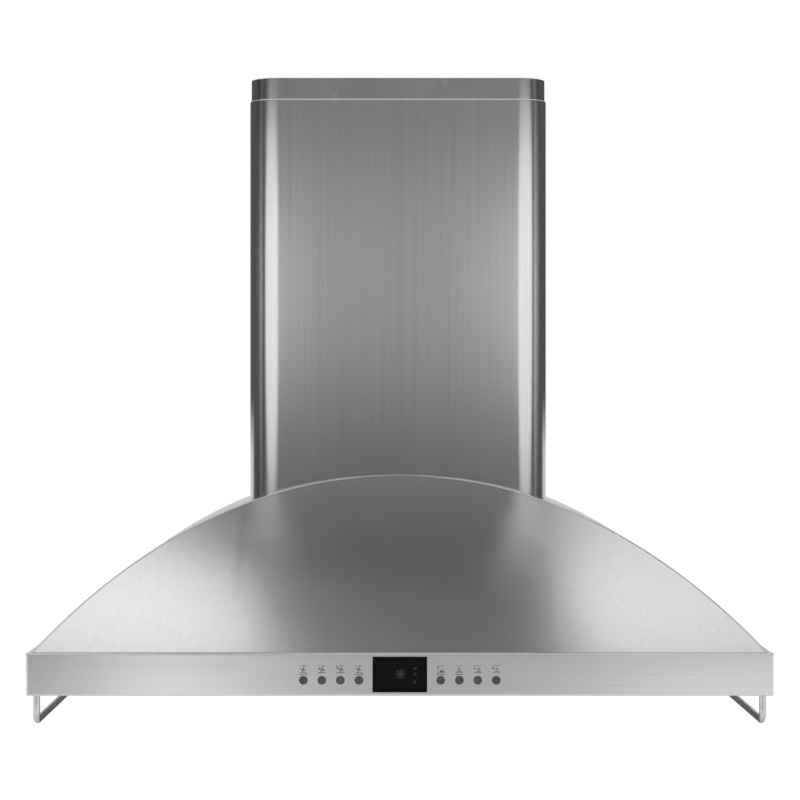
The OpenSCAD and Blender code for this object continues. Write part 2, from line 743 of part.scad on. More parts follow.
module filter_frame(s) color("lightgray") translate([s * filter_x, 0, 0]) {
    difference() {
        span([-filter_w / 2, filter_y0, filter_z], [filter_w / 2, filter_y1, filter_z + filter_t]);
        span(
            [-filter_w / 2 + filter_bar, filter_y0 + filter_front_bar, filter_z - cut],
            [filter_w / 2 - filter_bar, filter_y1 - filter_bar, filter_z + filter_t + cut]
        );
        span([-pocket_w / 2, pocket_y, filter_z - cut], [pocket_w / 2, pocket_y + pocket_l, tongue_z + latch_t + seat]);
        span(
            [-latch_w / 2 - seat, filter_y0 - cut, tongue_z - seat],
            [latch_w / 2 + seat, pocket_y + cut, tongue_z + latch_t + seat]
        );
        difference() {
            span(
                [-filter_w / 2 + sheet, filter_y0 + sheet, filter_z + sheet],
                [filter_w / 2 - sheet, filter_y1 - sheet, filter_z + filter_t + cut]
            );
            span(
                [-filter_w / 2 + filter_bar - sheet, filter_y0, filter_z],
                [filter_w / 2 - filter_bar + sheet, filter_y1 - filter_bar + sheet, filter_z + filter_t + cut]
            );
            span([-filter_w, filter_y0, filter_z], [filter_w, filter_y0 + filter_front_bar, filter_z + filter_t + cut]);
        }
        span(
            [-filter_w / 2 + sheet, filter_y0 + sheet, tongue_z + latch_t + seat + sheet],
            [filter_w / 2 - sheet, filter_y0 + filter_front_bar - sheet, filter_z + filter_t + cut]
        );
    }
    for (m = [0, 1]) mirror([m, 0, 0])
        rod_x([filter_w / 2 - cut, pivot_y, pivot_z], cut + filter_play + 2.5 * sheet, pivot_r);
}

// One channel, open towards +Z, from y0 to y1
module channel(y0, y1) difference() {
    span([-baffle_w / 2, y0, 0], [baffle_w / 2, y1, filter_t / 2 + 1]);
    span([-baffle_w / 2 + baffle_t, y0 - cut, baffle_t], [baffle_w / 2 - baffle_t, y1 + cut, filter_t]);
}

module filter_baffles(s) color("silver") translate([s * filter_x, 0, filter_z]) {
    pitch = baffle_w + baffle_gap;
    n = floor((filter_w - 2 * filter_bar + baffle_gap - 2) / pitch);
    y0 = filter_y0 + filter_front_bar;
    y1 = filter_y1 - filter_bar;
    for (i = [0:n - 1]) translate([(i - (n - 1) / 2) * pitch, 0, baffle_inset]) channel(y0, y1);
    for (i = [0:n - 2]) translate([(i - (n - 2) / 2) * pitch, 0, filter_t - baffle_inset]) mirror([0, 0, 1]) channel(y0, y1);
}

module filter_latch(s) color("dimgray") translate([s * filter_x, 0, 0]) {
    span([-latch_w / 2, filter_y0 - filter_play - latch_reach, tongue_z], [latch_w / 2, tab_y + tab_t, tongue_z + latch_t]);
    span([-latch_w / 2, tab_y, filter_z + baffle_inset], [latch_w / 2, tab_y + tab_t, tongue_z + latch_t]);
}

module filter_frame_left() filter_frame(-1);
module filter_frame_right() filter_frame(1);
module filter_baffles_left() filter_baffles(-1);
module filter_baffles_right() filter_baffles(1);
module filter_latch_left() filter_latch(-1);
module filter_latch_right() filter_latch(1);

module lamp_housing(s) color("dimgray") translate([s * lamp_x, lamp_y, pan_z + sheet + fit]) difference() {
    cylinder(h = lamp_can_h, r = lamp_hole_r + 2);
    translate([0, 0, -cut]) cylinder(h = lamp_can_h - sheet + cut, r = lamp_hole_r + 1);
}

module lamp_module(s) color("lightyellow") translate([s * lamp_x, lamp_y, pan_z + fit + lamp_can_h]) {
    translate([0, 0, -module_t]) cylinder(h = module_t, r = lamp_hole_r - lamp_trim);
    for (a = [0:60:300]) rotate([0, 0, a])
        translate([lamp_hole_r / 3, 0, -module_t - chip_t]) cylinder(h = chip_t + cut / 2, r = chip_r);
}

module lamp_bezel(s) color("silver") translate([s * lamp_x, lamp_y, pan_z]) difference() {
    union() {
        translate([0, 0, -1.6]) cylinder(h = 1.4, r = lamp_hole_r + lamp_trim / 2);
        translate([0, 0, -1]) cylinder(h = 5, r = lamp_hole_r - seat);
    }
    translate([0, 0, -2]) cylinder(h = 7, r = lamp_hole_r - lamp_trim / 2);
}

module lamp_lens(s) color("white", 0.6) translate([s * lamp_x, lamp_y, pan_z - 0.8])
    cylinder(h = lens_t, r = lamp_hole_r - lamp_trim / 2 - fit);

module lamp_housing_left() lamp_housing(-1);
module lamp_housing_right() lamp_housing(1);
module lamp_module_left() lamp_module(-1);
module lamp_module_right() lamp_module(1);
module lamp_bezel_left() lamp_bezel(-1);
module lamp_bezel_right() lamp_bezel(1);
module lamp_lens_left() lamp_lens(-1);
module lamp_lens_right() lamp_lens(1);

module control_housing() color("darkslategray") difference() {
    span([-control_half, fascia_in + seat, sheet + seat], [control_half, fascia_in + seat + control_d, band_h - sheet - seat]);
    span(
        [-control_half + control_wall, fascia_in, sheet + seat + control_wall],
        [control_half - control_wall, fascia_in + seat + control_d - control_wall, band_h - sheet - seat - control_wall]
    );
}

module control_board() color("darkgreen") {
    span(
        [-control_half + control_wall + seat, board_y, board_edge],
        [control_half - control_wall - seat, board_y + board_t, band_h - board_edge]
    );
    for (i = [1:8]) translate([button_x(i), board_y, button_z]) {
        span([-switch_half, -switch_t, -switch_half], [switch_half, board_t / 2, switch_half]);
        rod_y([0, -switch_t - stem_len, 0], stem_len + cut / 2, stem_r);
    }
    for (x = post_x) span(
        [x - post_half, board_y + board_t / 2, post_z],
        [x + post_half, fascia_in + seat + control_d - control_wall, post_z + post_h]
    );
}

module display_module() color("black") span(
    [-window_w / 2 + window_edge, window_back + seat, (band_h - window_h) / 2 + window_edge],
    [window_w / 2 - window_edge, board_y - fit, (band_h + window_h) / 2 - window_edge]
);

module display_window() color("black") translate([-window_w / 2, -(hood_d + window_proud), (band_h - window_h) / 2])
    cube([window_w, window_t, window_h]);

module button(i) color("dimgray") {
    rod_y([button_x(i), button_y, button_z], button_proud + sheet + seat + button_flange, button_d / 2);
    rod_y([button_x(i), fascia_in + seat, button_z], button_flange, button_d / 2 + button_lip);
}

module junction_box() color("silver") difference() {
    span([jbox_x - jbox_w / 2, back_in - jbox_d, jbox_z], [jbox_x + jbox_w / 2, back_in, jbox_z + jbox_h]);
    span(
        [jbox_x - jbox_w / 2 + sheet, back_in - jbox_d - cut, jbox_z + sheet],
        [jbox_x + jbox_w / 2 - sheet, back_in - sheet, jbox_z + jbox_h - sheet]
    );
    rod_y([jbox_x, back_in - 3 * sheet, jbox_z + jbox_h / 2], 5 * sheet, gland_r + gland_wall + fit);
    translate([jbox_x, back_in - jbox_d / 2, jbox_z - cut]) cylinder(h = 3 * sheet, r = wire_r + fit);
}

module junction_cover() color("silver") {
    span(
        [jbox_x - jbox_w / 2, back_in - jbox_d - fit - sheet, jbox_z],
        [jbox_x + jbox_w / 2, back_in - jbox_d - fit, jbox_z + jbox_h]
    );
    for (x = [-1, 1]) rod_y(
        [jbox_x + x * (jbox_w / 2 - cover_screw), back_in - jbox_d - fit - sheet - head_t, jbox_z + jbox_h / 2],
        head_t + sheet / 2, head_r
    );
}

module cable_gland() color("black") difference() {
    union() {
        rod_y([jbox_x, -gland_len, jbox_z + jbox_h / 2], gland_len, gland_r + gland_wall);
        rod_y([jbox_x, -gland_len, jbox_z + jbox_h / 2], gland_len + back_in - sheet - fit, gland_r + 2 * gland_wall);
    }
    rod_y([jbox_x, -gland_len - cut, jbox_z + jbox_h / 2], gland_len + 2 * cut, gland_r);
}

module lamp_driver() color("whitesmoke") {
    span([-jbox_x - driver_w / 2, back_in - driver_d, jbox_z], [-jbox_x + driver_w / 2, back_in, jbox_z + driver_h]);
    span(
        [-jbox_x - driver_w / 2 - ear_w, back_in - ear_t, jbox_z + ear_w],
        [-jbox_x + driver_w / 2 + ear_w, back_in, jbox_z + ear_w + ear_h]
    );
}

// A straight run of wiring with a round end
module wire(p, q) {
    d = q - p;
    len = norm(d);
    translate(p) rotate([0, acos(d.z / len), atan2(d.y, d.x)]) cylinder(h = len, r = wire_r, $fn = 24);
    translate(q) sphere(wire_r, $fn = 24);
}

module wiring_harness() color("dimgray") {
    x0 = control_half - wire_exit;
    x1 = hood_w / 2 - wire_side;
    y0 = fascia_in + seat + control_d;
    y1 = back_in - jbox_d / 2;
    low = band_h / 2 + 2 * wire_r;
    high = pan_z + sheet + fit + lamp_can_h + 2 * wire_r;
    route = [
        [x0, y0 + fit, low], [x0, y0 + wire_exit, low], [x0, y0 + wire_exit, high], [x1, y0 + wire_exit, high],
        [x1, y1, high], [jbox_x, y1, high], [jbox_x, y1, jbox_z + 2 * wire_r]
    ];
    for (i = [0:len(route) - 2]) wire(route[i], route[i + 1]);
}

canopy_face();
canopy_arch();
canopy_back();
control_fascia();
rim_left();
rim_right();
rim_rear();
underside_pan();
pan_screws();
rail_left();
rail_right();
rail_nuts();
chimney_lower_cover();
chimney_upper_cover();
ceiling_bracket();
sleeve_screws();
blower_housing();
blower_side_plate();
blower_brackets();
blower_wheel();
motor_shaft();
blower_motor();
motor_bracket();
run_capacitor();
duct_transition();
duct_collar();
damper_pin();
damper_flap_front();
damper_flap_rear();
filter_frame_left();
filter_baffles_left();
filter_latch_left();
filter_frame_right();
filter_baffles_right();
filter_latch_right();
lamp_housing_left();
lamp_module_left();
lamp_lens_left();
lamp_bezel_left();
lamp_housing_right();
lamp_module_right();
lamp_lens_right();
lamp_bezel_right();
control_housing();
control_board();
display_module();
display_window();
button(1);  // button_1
button(2);  // button_2
button(3);  // button_3
button(4);  // button_4
button(5);  // button_5
button(6);  // button_6
button(7);  // button_7
button(8);  // button_8
junction_box();
junction_cover();
cable_gland();
lamp_driver();
wiring_harness();
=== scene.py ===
import json
from math import acos, atan2, ceil, cos, pi, radians, sin, sqrt, tan

import bmesh
import bpy
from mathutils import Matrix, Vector


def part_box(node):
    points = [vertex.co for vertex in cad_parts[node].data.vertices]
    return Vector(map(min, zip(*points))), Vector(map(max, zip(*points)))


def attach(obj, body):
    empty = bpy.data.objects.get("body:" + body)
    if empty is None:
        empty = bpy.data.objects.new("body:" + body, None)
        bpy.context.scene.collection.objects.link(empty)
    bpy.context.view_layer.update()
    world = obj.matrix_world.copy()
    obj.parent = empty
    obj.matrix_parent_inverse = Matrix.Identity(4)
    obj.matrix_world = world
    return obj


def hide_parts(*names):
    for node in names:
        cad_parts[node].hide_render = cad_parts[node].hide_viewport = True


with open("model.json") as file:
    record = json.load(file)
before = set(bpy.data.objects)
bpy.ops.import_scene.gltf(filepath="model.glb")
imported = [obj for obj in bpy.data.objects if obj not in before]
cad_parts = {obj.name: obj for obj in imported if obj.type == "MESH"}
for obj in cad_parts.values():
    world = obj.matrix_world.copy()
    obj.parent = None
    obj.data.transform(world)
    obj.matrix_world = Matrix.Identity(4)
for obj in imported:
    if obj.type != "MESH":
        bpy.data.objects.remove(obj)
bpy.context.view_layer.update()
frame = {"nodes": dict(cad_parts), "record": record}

cadNodes = frame["nodes"]
mm = 0.001

# Main sizes of the hood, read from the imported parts
rimLow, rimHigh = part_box("control_fascia")
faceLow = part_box("canopy_face")[0]
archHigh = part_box("canopy_arch")[1]
lowerLow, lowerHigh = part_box("chimney_lower_cover")
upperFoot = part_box("chimney_upper_cover")[0].z
hoodWide = rimHigh.x - rimLow.x
frontY = rimLow.y
bandHigh = rimHigh.z
sheet = 1 * mm
archRise = archHigh.z - bandHigh
archRadius = (archHigh.x ** 2 + archRise ** 2) / (2 * archRise)
archZ = archHigh.z - archRadius
chimneyWide = lowerHigh.x - lowerLow.x
chimneyFront = -lowerLow.y
crestLedge = 6 * mm  # from the chimney's front to the face's top
faceSlope = atan2(archRise, -chimneyFront - crestLedge - faceLow.y)


# Small mesh tools

def circle(radius, count):
    turns = [2 * pi * k / count for k in range(count)]
    return [(radius * cos(a), radius * sin(a)) for a in turns]


def quarter(x, y, radius, start, steps):
    # the points of a quarter circle about (x, y)
    turns = [start + pi / 2 * k / steps for k in range(steps + 1)]
    return [(x + radius * cos(a), y + radius * sin(a)) for a in turns]


def loft(bm, loops, closed=True, capStart=True, capEnd=True):
    # joins rings of points, each with the same number of points
    rings = [[bm.verts.new(p) for p in ring] for ring in loops]
    count = len(rings[0])
    for a, b in zip(rings, rings[1:]):
        for i in range(count if closed else count - 1):
            j = (i + 1) % count
            bm.faces.new((a[i], a[j], b[j], b[i]))
    if capStart:
        bm.faces.new(list(reversed(rings[0])))
    if capEnd:
        bm.faces.new(rings[-1])
    return rings


def roundedPath(corners, steps=6):
    # corners are (x, y, radius); gives the path with each corner rounded
    path = []
    for i, (x, y, r) in enumerate(corners):
        p = Vector((x, y))
        if not r or i in (0, len(corners) - 1):
            path.append(p)
            continue
        back = (Vector(corners[i - 1][:2]) - p).normalized()
        ahead = (Vector(corners[i + 1][:2]) - p).normalized()
        half = back.angle(ahead) / 2
        centre = p + (back + ahead).normalized() * (r / sin(half))
        a, b = p + back * (r / tan(half)) - centre, p + ahead * (r / tan(half)) - centre
        start = atan2(a.y, a.x)
        turn = (atan2(b.y, b.x) - start + pi) % (2 * pi) - pi
        count = max(steps, round(abs(turn) * r / (1.8 * mm)))
        for s in range(count + 1):
            angle = start + turn * s / count
            path.append(centre + Vector((cos(angle), sin(angle))) * r)
    return path


def denser(path, longest):
    # adds points so that no step is longer than longest
    made = [path[0]]
    for a, b in zip(path, path[1:]):
        count = max(1, ceil((b - a).length / longest))
        made += [a.lerp(b, (k + 1) / count) for k in range(count)]
    return made


def leftOf(path, t, closed=False):
    # the path moved by t to its left
    moved = []
    for i, p in enumerate(path):
        a = p - path[i - 1] if i or closed else path[1] - p
        b = path[(i + 1) % len(path)] - p if closed or i + 1 < len(path) else a
        a, b = a.normalized(), b.normalized()
        side = Vector((-(a + b).y, (a + b).x)).normalized()
        moved.append(p + side * (t / side.dot(Vector((-a.y, a.x)))))
    return moved


def sheetStrip(bm, corners, thick, put, ends):
    # a folded strip of sheet: its section follows corners and it runs between the two ends
    path = roundedPath(corners)
    section = path + list(reversed(leftOf(path, thick)))
    loft(bm, [[put(p.x, p.y, end) for p in section] for end in ends])


def plate(bm, path, levels, put):
    # a flat form over a closed outline; levels are (drawn in by, height)
    loft(bm, [[put(p.x, p.y, h) for p in leftOf(path, t, True)] for t, h in levels])


def turned(bm, profile, put, sides=64, capStart=True, capEnd=True):
    # a turned form: profile is (radius, height)
    loft(bm, [[put(u, v, h) for u, v in circle(r, sides)] for r, h in profile], True, capStart, capEnd)


def swept(bm, path, radius, sides):
    # a round rod along a path that lies in one plane x = constant
    loops = []
    for i, p in enumerate(path):
        after = (path[i + 1] - p).normalized() if i + 1 < len(path) else (p - path[i - 1]).normalized()
        before = (p - path[i - 1]).normalized() if i else after
        ahead = (before + after).normalized()
        across = Vector((1, 0, 0))
        up = ahead.cross(across)
        loops.append([p + (across * cos(a) + up * sin(a)) * radius
                      for a in (2 * pi * k / sides for k in range(sides))])
    loft(bm, loops)


def newObject(name, data):
    made = bpy.data.objects.new(name, data)
    bpy.context.scene.collection.objects.link(made)
    return made


def sharpen(data, angle):
    # smooth shading with edges sharper than the angle kept crisp
    data.polygons.foreach_set("use_smooth", [True] * len(data.polygons))
    data.set_sharp_from_angle(angle=radians(angle))


def evenShine(piece):
    # large flat faces keep their own direction beside small rounded edges
    normals = piece.modifiers.new("normals", "WEIGHTED_NORMAL")
    normals.keep_sharp = True


def makePiece(name, bm, body, material, nodes=(), angle=35):
    bmesh.ops.remove_doubles(bm, verts=bm.verts, dist=0.0001 * mm)
    bmesh.ops.recalc_face_normals(bm, faces=bm.faces)
    data = bpy.data.meshes.new(name)
    bm.to_mesh(data)
    bm.free()
    sharpen(data, angle)
    piece = newObject(name, data)
    piece.data.materials.append(material)
    evenShine(piece)
    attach(piece, body)
    if nodes:
        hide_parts(*nodes)
    return piece


def carve(piece, bm):
    # cuts the closed forms in bm out of the piece
    data = bpy.data.meshes.new("cutter")
    bmesh.ops.recalc_face_normals(bm, faces=bm.faces)
    bm.to_mesh(data)
    bm.free()
    cutter = newObject("cutter", data)
    piece.modifiers.clear()
    cut = piece.modifiers.new("cut", "BOOLEAN")
    cut.operation, cut.solver, cut.object = "DIFFERENCE", "EXACT", cutter
    shaped = bpy.data.meshes.new_from_object(piece.evaluated_get(bpy.context.evaluated_depsgraph_get()))
    piece.modifiers.clear()
    old = piece.data
    shaped.name = old.name
    piece.data = shaped
    bpy.data.meshes.remove(old)
    bpy.data.objects.remove(cutter)
    sharpen(piece.data, 35)
    evenShine(piece)


def easeEdges(name, width, angle=40):
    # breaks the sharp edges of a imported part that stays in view
    part = cadNodes[name]
    weld = part.modifiers.new("weld", "WELD")
    weld.merge_threshold = 0.001 * mm
    bevel = part.modifiers.new("edges", "BEVEL")
    bevel.width, bevel.segments, bevel.limit_method = width, 2, "ANGLE"
    bevel.angle_limit = radians(angle)
    bevel.use_clamp_overlap = True


# Shared effects

def newGroup(name, inputs, outputs):
    # inputs are label: value, where three numbers make a vector; outputs are single values
    group = bpy.data.node_groups.new(name, "ShaderNodeTree")
    for label, value in inputs.items():
        kind = "NodeSocketVector" if isinstance(value, tuple) else "NodeSocketFloat"
        socket = group.interface.new_socket(label, in_out="INPUT", socket_type=kind)
        socket.default_value = value
    for label in outputs:
        group.interface.new_socket(label, in_out="OUTPUT", socket_type="NodeSocketFloat")
    return group, group.nodes.new("NodeGroupInput"), group.nodes.new("NodeGroupOutput")


def node(tree, kind, values=None, **settings):
    # a new node: values go to its inputs, settings to the node itself
    made = tree.nodes.new("ShaderNode" + kind)
    for key, value in settings.items():
        setattr(made, key, value)
    for key, value in (values or {}).items():
        made.inputs[key].default_value = value
    return made


def feed(made, socket, source):
    # links a source to one of a node's inputs
    made.id_data.links.new(source, made.inputs[socket])


def math2(tree, operation, a, b):
    # a maths node; each side is a socket or a number
    made = node(tree, "Math", operation=operation)
    for i, side in enumerate((a, b)):
        if isinstance(side, (int, float)):
            made.inputs[i].default_value = side
        else:
            feed(made, i, side)
    return made.outputs[0]


def makeBrushed():
    # brush lines of rolled steel: Fine is the single scratches, Streak the broader bands
    group, start, end = newGroup("brushLines", {"Turn": (0, 0, 0), "Stretch": (1, 1, 1), "Per Metre": 1500},
                                 ["Fine", "Streak"])
    place = node(group, "TexCoord")
    fit = node(group, "Mapping")
    feed(fit, "Vector", place.outputs["Object"])
    feed(fit, "Rotation", start.outputs["Turn"])
    feed(fit, "Scale", start.outputs["Stretch"])
    for share, detail, out in ((1, 3, "Fine"), (0.16, 2, "Streak")):
        lines = node(group, "TexNoise", {"Detail": detail, "Roughness": 0.6})
        feed(lines, "Vector", fit.outputs[0])
        feed(lines, "Scale", math2(group, "MULTIPLY", start.outputs["Per Metre"], share))
        feed(end, out, lines.outputs["Fac"])
    return group


def makeUneven():
    # slow unevenness of sheet metal: Wave for the form, Blotch for the finish, Scuff for light marks
    group, start, end = newGroup("sheetUneven", {"Per Metre": 6, "Marks": 60}, ["Wave", "Blotch", "Scuff"])
    place = node(group, "TexCoord")
    wave = node(group, "TexNoise", {"Detail": 1, "Roughness": 0.4})
    blotch = node(group, "TexNoise", {"Detail": 4, "Roughness": 0.55, "Distortion": 0.4})
    marks = node(group, "TexNoise", {"Detail": 6, "Roughness": 0.7, "Distortion": 1.2})
    for lines, scale in ((wave, start.outputs["Per Metre"]),
                         (blotch, math2(group, "MULTIPLY", start.outputs["Per Metre"], 2.7)),
                         (marks, start.outputs["Marks"])):
        feed(lines, "Vector", place.outputs["Object"])
        feed(lines, "Scale", scale)
    rare = node(group, "MapRange", {"From Min": 0.62, "From Max": 0.74})
    feed(rare, "Value", marks.outputs["Fac"])
    feed(end, "Wave", wave.outputs["Fac"])
    feed(end, "Blotch", blotch.outputs["Fac"])
    feed(end, "Scuff", rare.outputs[0])
    return group


def makeSpangle():
    # crystals of zinc on galvanised sheet
    group, start, end = newGroup("zincSpangle", {"Per Metre": 160}, ["Tone", "Edge"])
    place = node(group, "TexCoord")
    cells = node(group, "TexVoronoi", {"Randomness": 1.0})
    rims = node(group, "TexVoronoi", {"Randomness": 1.0}, feature="DISTANCE_TO_EDGE")
    for made in (cells, rims):
        feed(made, "Vector", place.outputs["Object"])
        feed(made, "Scale", start.outputs["Per Metre"])
    split = node(group, "SeparateColor")
    feed(split, 0, cells.outputs["Color"])
    thin = node(group, "MapRange", {"From Min": 0.0, "From Max": 0.08})
    feed(thin, "Value", rims.outputs["Distance"])
    feed(end, "Tone", split.outputs[0])
    feed(end, "Edge", thin.outputs[0])
    return group


def makeMoulded():
    # the fine skin of moulded plastic, paint and rubber
    group, start, end = newGroup("mouldedSkin", {"Per Metre": 2500}, ["Skin", "Cloud"])
    place = node(group, "TexCoord")
    skin = node(group, "TexVoronoi", {"Randomness": 1.0}, feature="SMOOTH_F1")
    cloud = node(group, "TexNoise", {"Detail": 3, "Roughness": 0.5})
    for made, share in ((skin, 1), (cloud, 0.03)):
        feed(made, "Vector", place.outputs["Object"])
        feed(made, "Scale", math2(group, "MULTIPLY", start.outputs["Per Metre"], share))
    feed(end, "Skin", skin.outputs["Distance"])
    feed(end, "Cloud", cloud.outputs["Fac"])
    return group


brushLines = makeBrushed()
sheetUneven = makeUneven()
zincSpangle = makeSpangle()
mouldedSkin = makeMoulded()


# Finishes

def newMaterial(name, **values):
    material = bpy.data.materials.new(name)
    material.use_nodes = True
    tree = material.node_tree
    shader = tree.nodes["Principled BSDF"]
    for key, value in values.items():
        shader.inputs[key.replace("_", " ")].default_value = value
    return material, tree, shader


def useGroup(tree, group, **values):
    made = node(tree, "Group")
    made.node_tree = group
    for key, value in values.items():
        made.inputs[key.replace("_", " ")].default_value = value
    return made


def blend(tree, factor, dark, light):
    # a colour between dark and light
    made = node(tree, "Mix", data_type="RGBA")
    made.inputs[6].default_value = (*dark, 1)
    made.inputs[7].default_value = (*light, 1)
    feed(made, 0, factor)
    return made.outputs[2]


def tones(tone, contrast):
    # the darker and the lighter end of a tone
    return [c * (1 - contrast) for c in tone], [min(1, c * (1 + contrast)) for c in tone]


def ranged(tree, value, low, high, fromLow=0.3, fromHigh=0.7):
    # a value from 0.3 to 0.7, where most noise lies, spread from low to high
    made = node(tree, "MapRange", {"From Min": fromLow, "From Max": fromHigh,
                                             "To Min": low, "To Max": high})
    feed(made, "Value", value)
    return made.outputs[0]


def bump(tree, height, distance, strength, under=None):
    made = node(tree, "Bump", {"Distance": distance, "Strength": strength})
    feed(made, "Height", height)
    if under:
        feed(made, "Normal", under)
    return made.outputs[0]


def brushedSteel(name, tone, rough, look):
    # look: turn and stretch of the brush lines, how much of each effect, and the spread of the shine
    material, tree, shader = newMaterial(name, Metallic=1.0, Anisotropic=look["spread"])
    lines = useGroup(tree, brushLines, Turn=look["turn"], Stretch=look["stretch"], Per_Metre=look["lines"])
    uneven = useGroup(tree, sheetUneven, Per_Metre=look["waves"], Marks=look["marks"])
    shade = math2(tree, "ADD", math2(tree, "MULTIPLY", lines.outputs["Streak"], 1 - look["cloud"]),
                  math2(tree, "MULTIPLY", uneven.outputs["Blotch"], look["cloud"]))
    shade = math2(tree, "ADD", shade, math2(tree, "MULTIPLY", uneven.outputs["Scuff"], look["scuff"]))
    dark, light = tones(tone, look["contrast"])
    feed(shader, "Base Color", blend(tree, ranged(tree, shade, 0, 1), dark, light))
    finish = ranged(tree, uneven.outputs["Blotch"], rough * (1 - 0.1 * look["cloud"]),
                    rough * (1 + 0.1 * look["cloud"]))
    worn = math2(tree, "MULTIPLY", uneven.outputs["Scuff"], look["scuff"] * 0.1)
    feed(shader, "Roughness", math2(tree, "ADD", finish, worn))
    wave = bump(tree, uneven.outputs["Wave"], look["waveDeep"], 1.0)
    feed(shader, "Normal", bump(tree, lines.outputs["Fine"], look["lineDeep"], 0.5, wave))
    if look["spread"]:  # the shine spreads level, across lines that run up the sheet
        facing = node(tree, "NewGeometry")
        level = node(tree, "VectorMath", operation="CROSS_PRODUCT")
        level.inputs[1].default_value = (0, 0, 1)
        feed(level, 0, facing.outputs["Normal"])
        feed(shader, "Tangent", level.outputs[0])
    return material


def zincSheet(name, tone, rough, cells, contrast):
    # galvanised sheet, with its crystals in sight
    material, tree, shader = newMaterial(name, Metallic=1.0)
    spangle = useGroup(tree, zincSpangle, Per_Metre=cells)
    uneven = useGroup(tree, sheetUneven, Per_Metre=9.0, Marks=45.0)
    dark, light = tones(tone, contrast)
    feed(shader, "Base Color", blend(tree, spangle.outputs["Tone"], dark, light))
    finish = math2(tree, "ADD", ranged(tree, spangle.outputs["Tone"], rough * 0.8, rough * 1.2, 0, 1),
                   math2(tree, "MULTIPLY", uneven.outputs["Scuff"], 0.08))
    feed(shader, "Roughness", finish)
    wave = bump(tree, uneven.outputs["Wave"], 0.6 * mm, 1.0)
    feed(shader, "Normal", bump(tree, spangle.outputs["Edge"], 0.02 * mm, 0.4, wave))
    return material


def moulded(name, tone, rough, contrast=0.1, grain=2500, deep=0.02 * mm):
    # plastic, paint, rubber and ink
    material, tree, shader = newMaterial(name)
    skin = useGroup(tree, mouldedSkin, Per_Metre=grain)
    dark, light = tones(tone, contrast)
    feed(shader, "Base Color", blend(tree, ranged(tree, skin.outputs["Cloud"], 0, 1), dark, light))
    feed(shader, "Roughness", ranged(tree, skin.outputs["Cloud"], rough * 0.9, rough * 1.1))
    feed(shader, "Normal", bump(tree, skin.outputs["Skin"], deep, 0.5))
    return material


def turnedMetal(name, tone, rough):
    # bright rod, screws and rings
    material, tree, shader = newMaterial(name, Metallic=1.0)
    lines = useGroup(tree, brushLines, Turn=(0, 0, 0), Stretch=(1, 1, 1), Per_Metre=900)
    uneven = useGroup(tree, sheetUneven, Per_Metre=30.0, Marks=150.0)
    dark, light = [c * 0.93 for c in tone], [min(1, c * 1.05) for c in tone]
    feed(shader, "Base Color", blend(tree, ranged(tree, uneven.outputs["Blotch"], 0, 1), dark, light))
    finish = ranged(tree, lines.outputs["Streak"], rough * 0.85, rough * 1.15)
    worn = math2(tree, "MULTIPLY", uneven.outputs["Scuff"], 0.06)
    feed(shader, "Roughness", math2(tree, "ADD", finish, worn))
    feed(shader, "Normal", bump(tree, lines.outputs["Fine"], 0.004 * mm, 0.4))
    return material


# Brushed steel of the outside: the lines run up each sheet
upLook = {"turn": (0, 0, 0), "stretch": (1, 1, 0.012), "lines": 1500, "waves": 5.0, "marks": 40.0,
          "scuff": 0.0, "cloud": 0.1, "contrast": 0.035, "spread": 0.35, "waveDeep": 0.08 * mm,
          "lineDeep": 0.003 * mm}
slopeLook = dict(upLook, turn=(-faceSlope, 0, 0), stretch=(1, 0.012, 1), waves=4.0, spread=0.4,
                 waveDeep=0.4 * mm, lineDeep=0.0015 * mm, cloud=0.3)
levelLook = dict(upLook, stretch=(0.012, 1, 1), spread=0.0, cloud=0.3, waveDeep=0.4 * mm)
archLook = dict(levelLook, waves=4.0)
panLook = dict(levelLook, waves=9.0, marks=70.0, scuff=0.12, cloud=0.5, contrast=0.05)

steelTone = (0.7, 0.7, 0.7)
faceSteel = brushedSteel("faceSteel", steelTone, 0.19, slopeLook)
archSteel = brushedSteel("archSteel", steelTone, 0.18, archLook)
bandSteel = brushedSteel("bandSteel", steelTone, 0.19, levelLook)
chimneySteel = brushedSteel("chimneySteel", steelTone, 0.17, upLook)
sleeveLook = dict(upLook, scuff=0.35, marks=22.0, cloud=0.7, contrast=0.09)
sleeveSteel = brushedSteel("sleeveSteel", (0.66, 0.66, 0.66), 0.17, sleeveLook)
panSteel = brushedSteel("panSteel", (0.6, 0.6, 0.6), 0.32, panLook)
filterLook = dict(panLook, stretch=(1, 0.012, 1), scuff=0.0, cloud=0.1, waveDeep=0.1 * mm)
filterSteel = brushedSteel("filterSteel", (0.62, 0.62, 0.62), 0.28, filterLook)
rodSteel = turnedMetal("rodSteel", (0.62, 0.62, 0.62), 0.24)
screwSteel = turnedMetal("screwSteel", (0.5, 0.5, 0.49), 0.3)
zinc = zincSheet("zincSheet", (0.56, 0.57, 0.58), 0.42, 170, 0.14)
blowerMetal = zincSheet("blowerMetal", (0.62, 0.62, 0.63), 0.38, 320, 0.06)
motorPaint = moulded("motorPaint", (0.03, 0.03, 0.032), 0.42, 0.15, 1800, 0.03 * mm)
latchPlastic = moulded("latchPlastic", (0.035, 0.036, 0.038), 0.5, 0.12)
housingPlastic = moulded("housingPlastic", (0.045, 0.048, 0.05), 0.55, 0.12, 1600, 0.03 * mm)
buttonPlastic = moulded("buttonPlastic", (0.058, 0.058, 0.06), 0.42, 0.3, 5200, 0.03 * mm)
whitePlastic = moulded("whitePlastic", (0.72, 0.72, 0.7), 0.45, 0.04)
lampPaint = moulded("lampPaint", (0.5, 0.5, 0.49), 0.4, 0.06)
rubber = moulded("blackRubber", (0.02, 0.02, 0.021), 0.7, 0.15, 3000, 0.04 * mm)
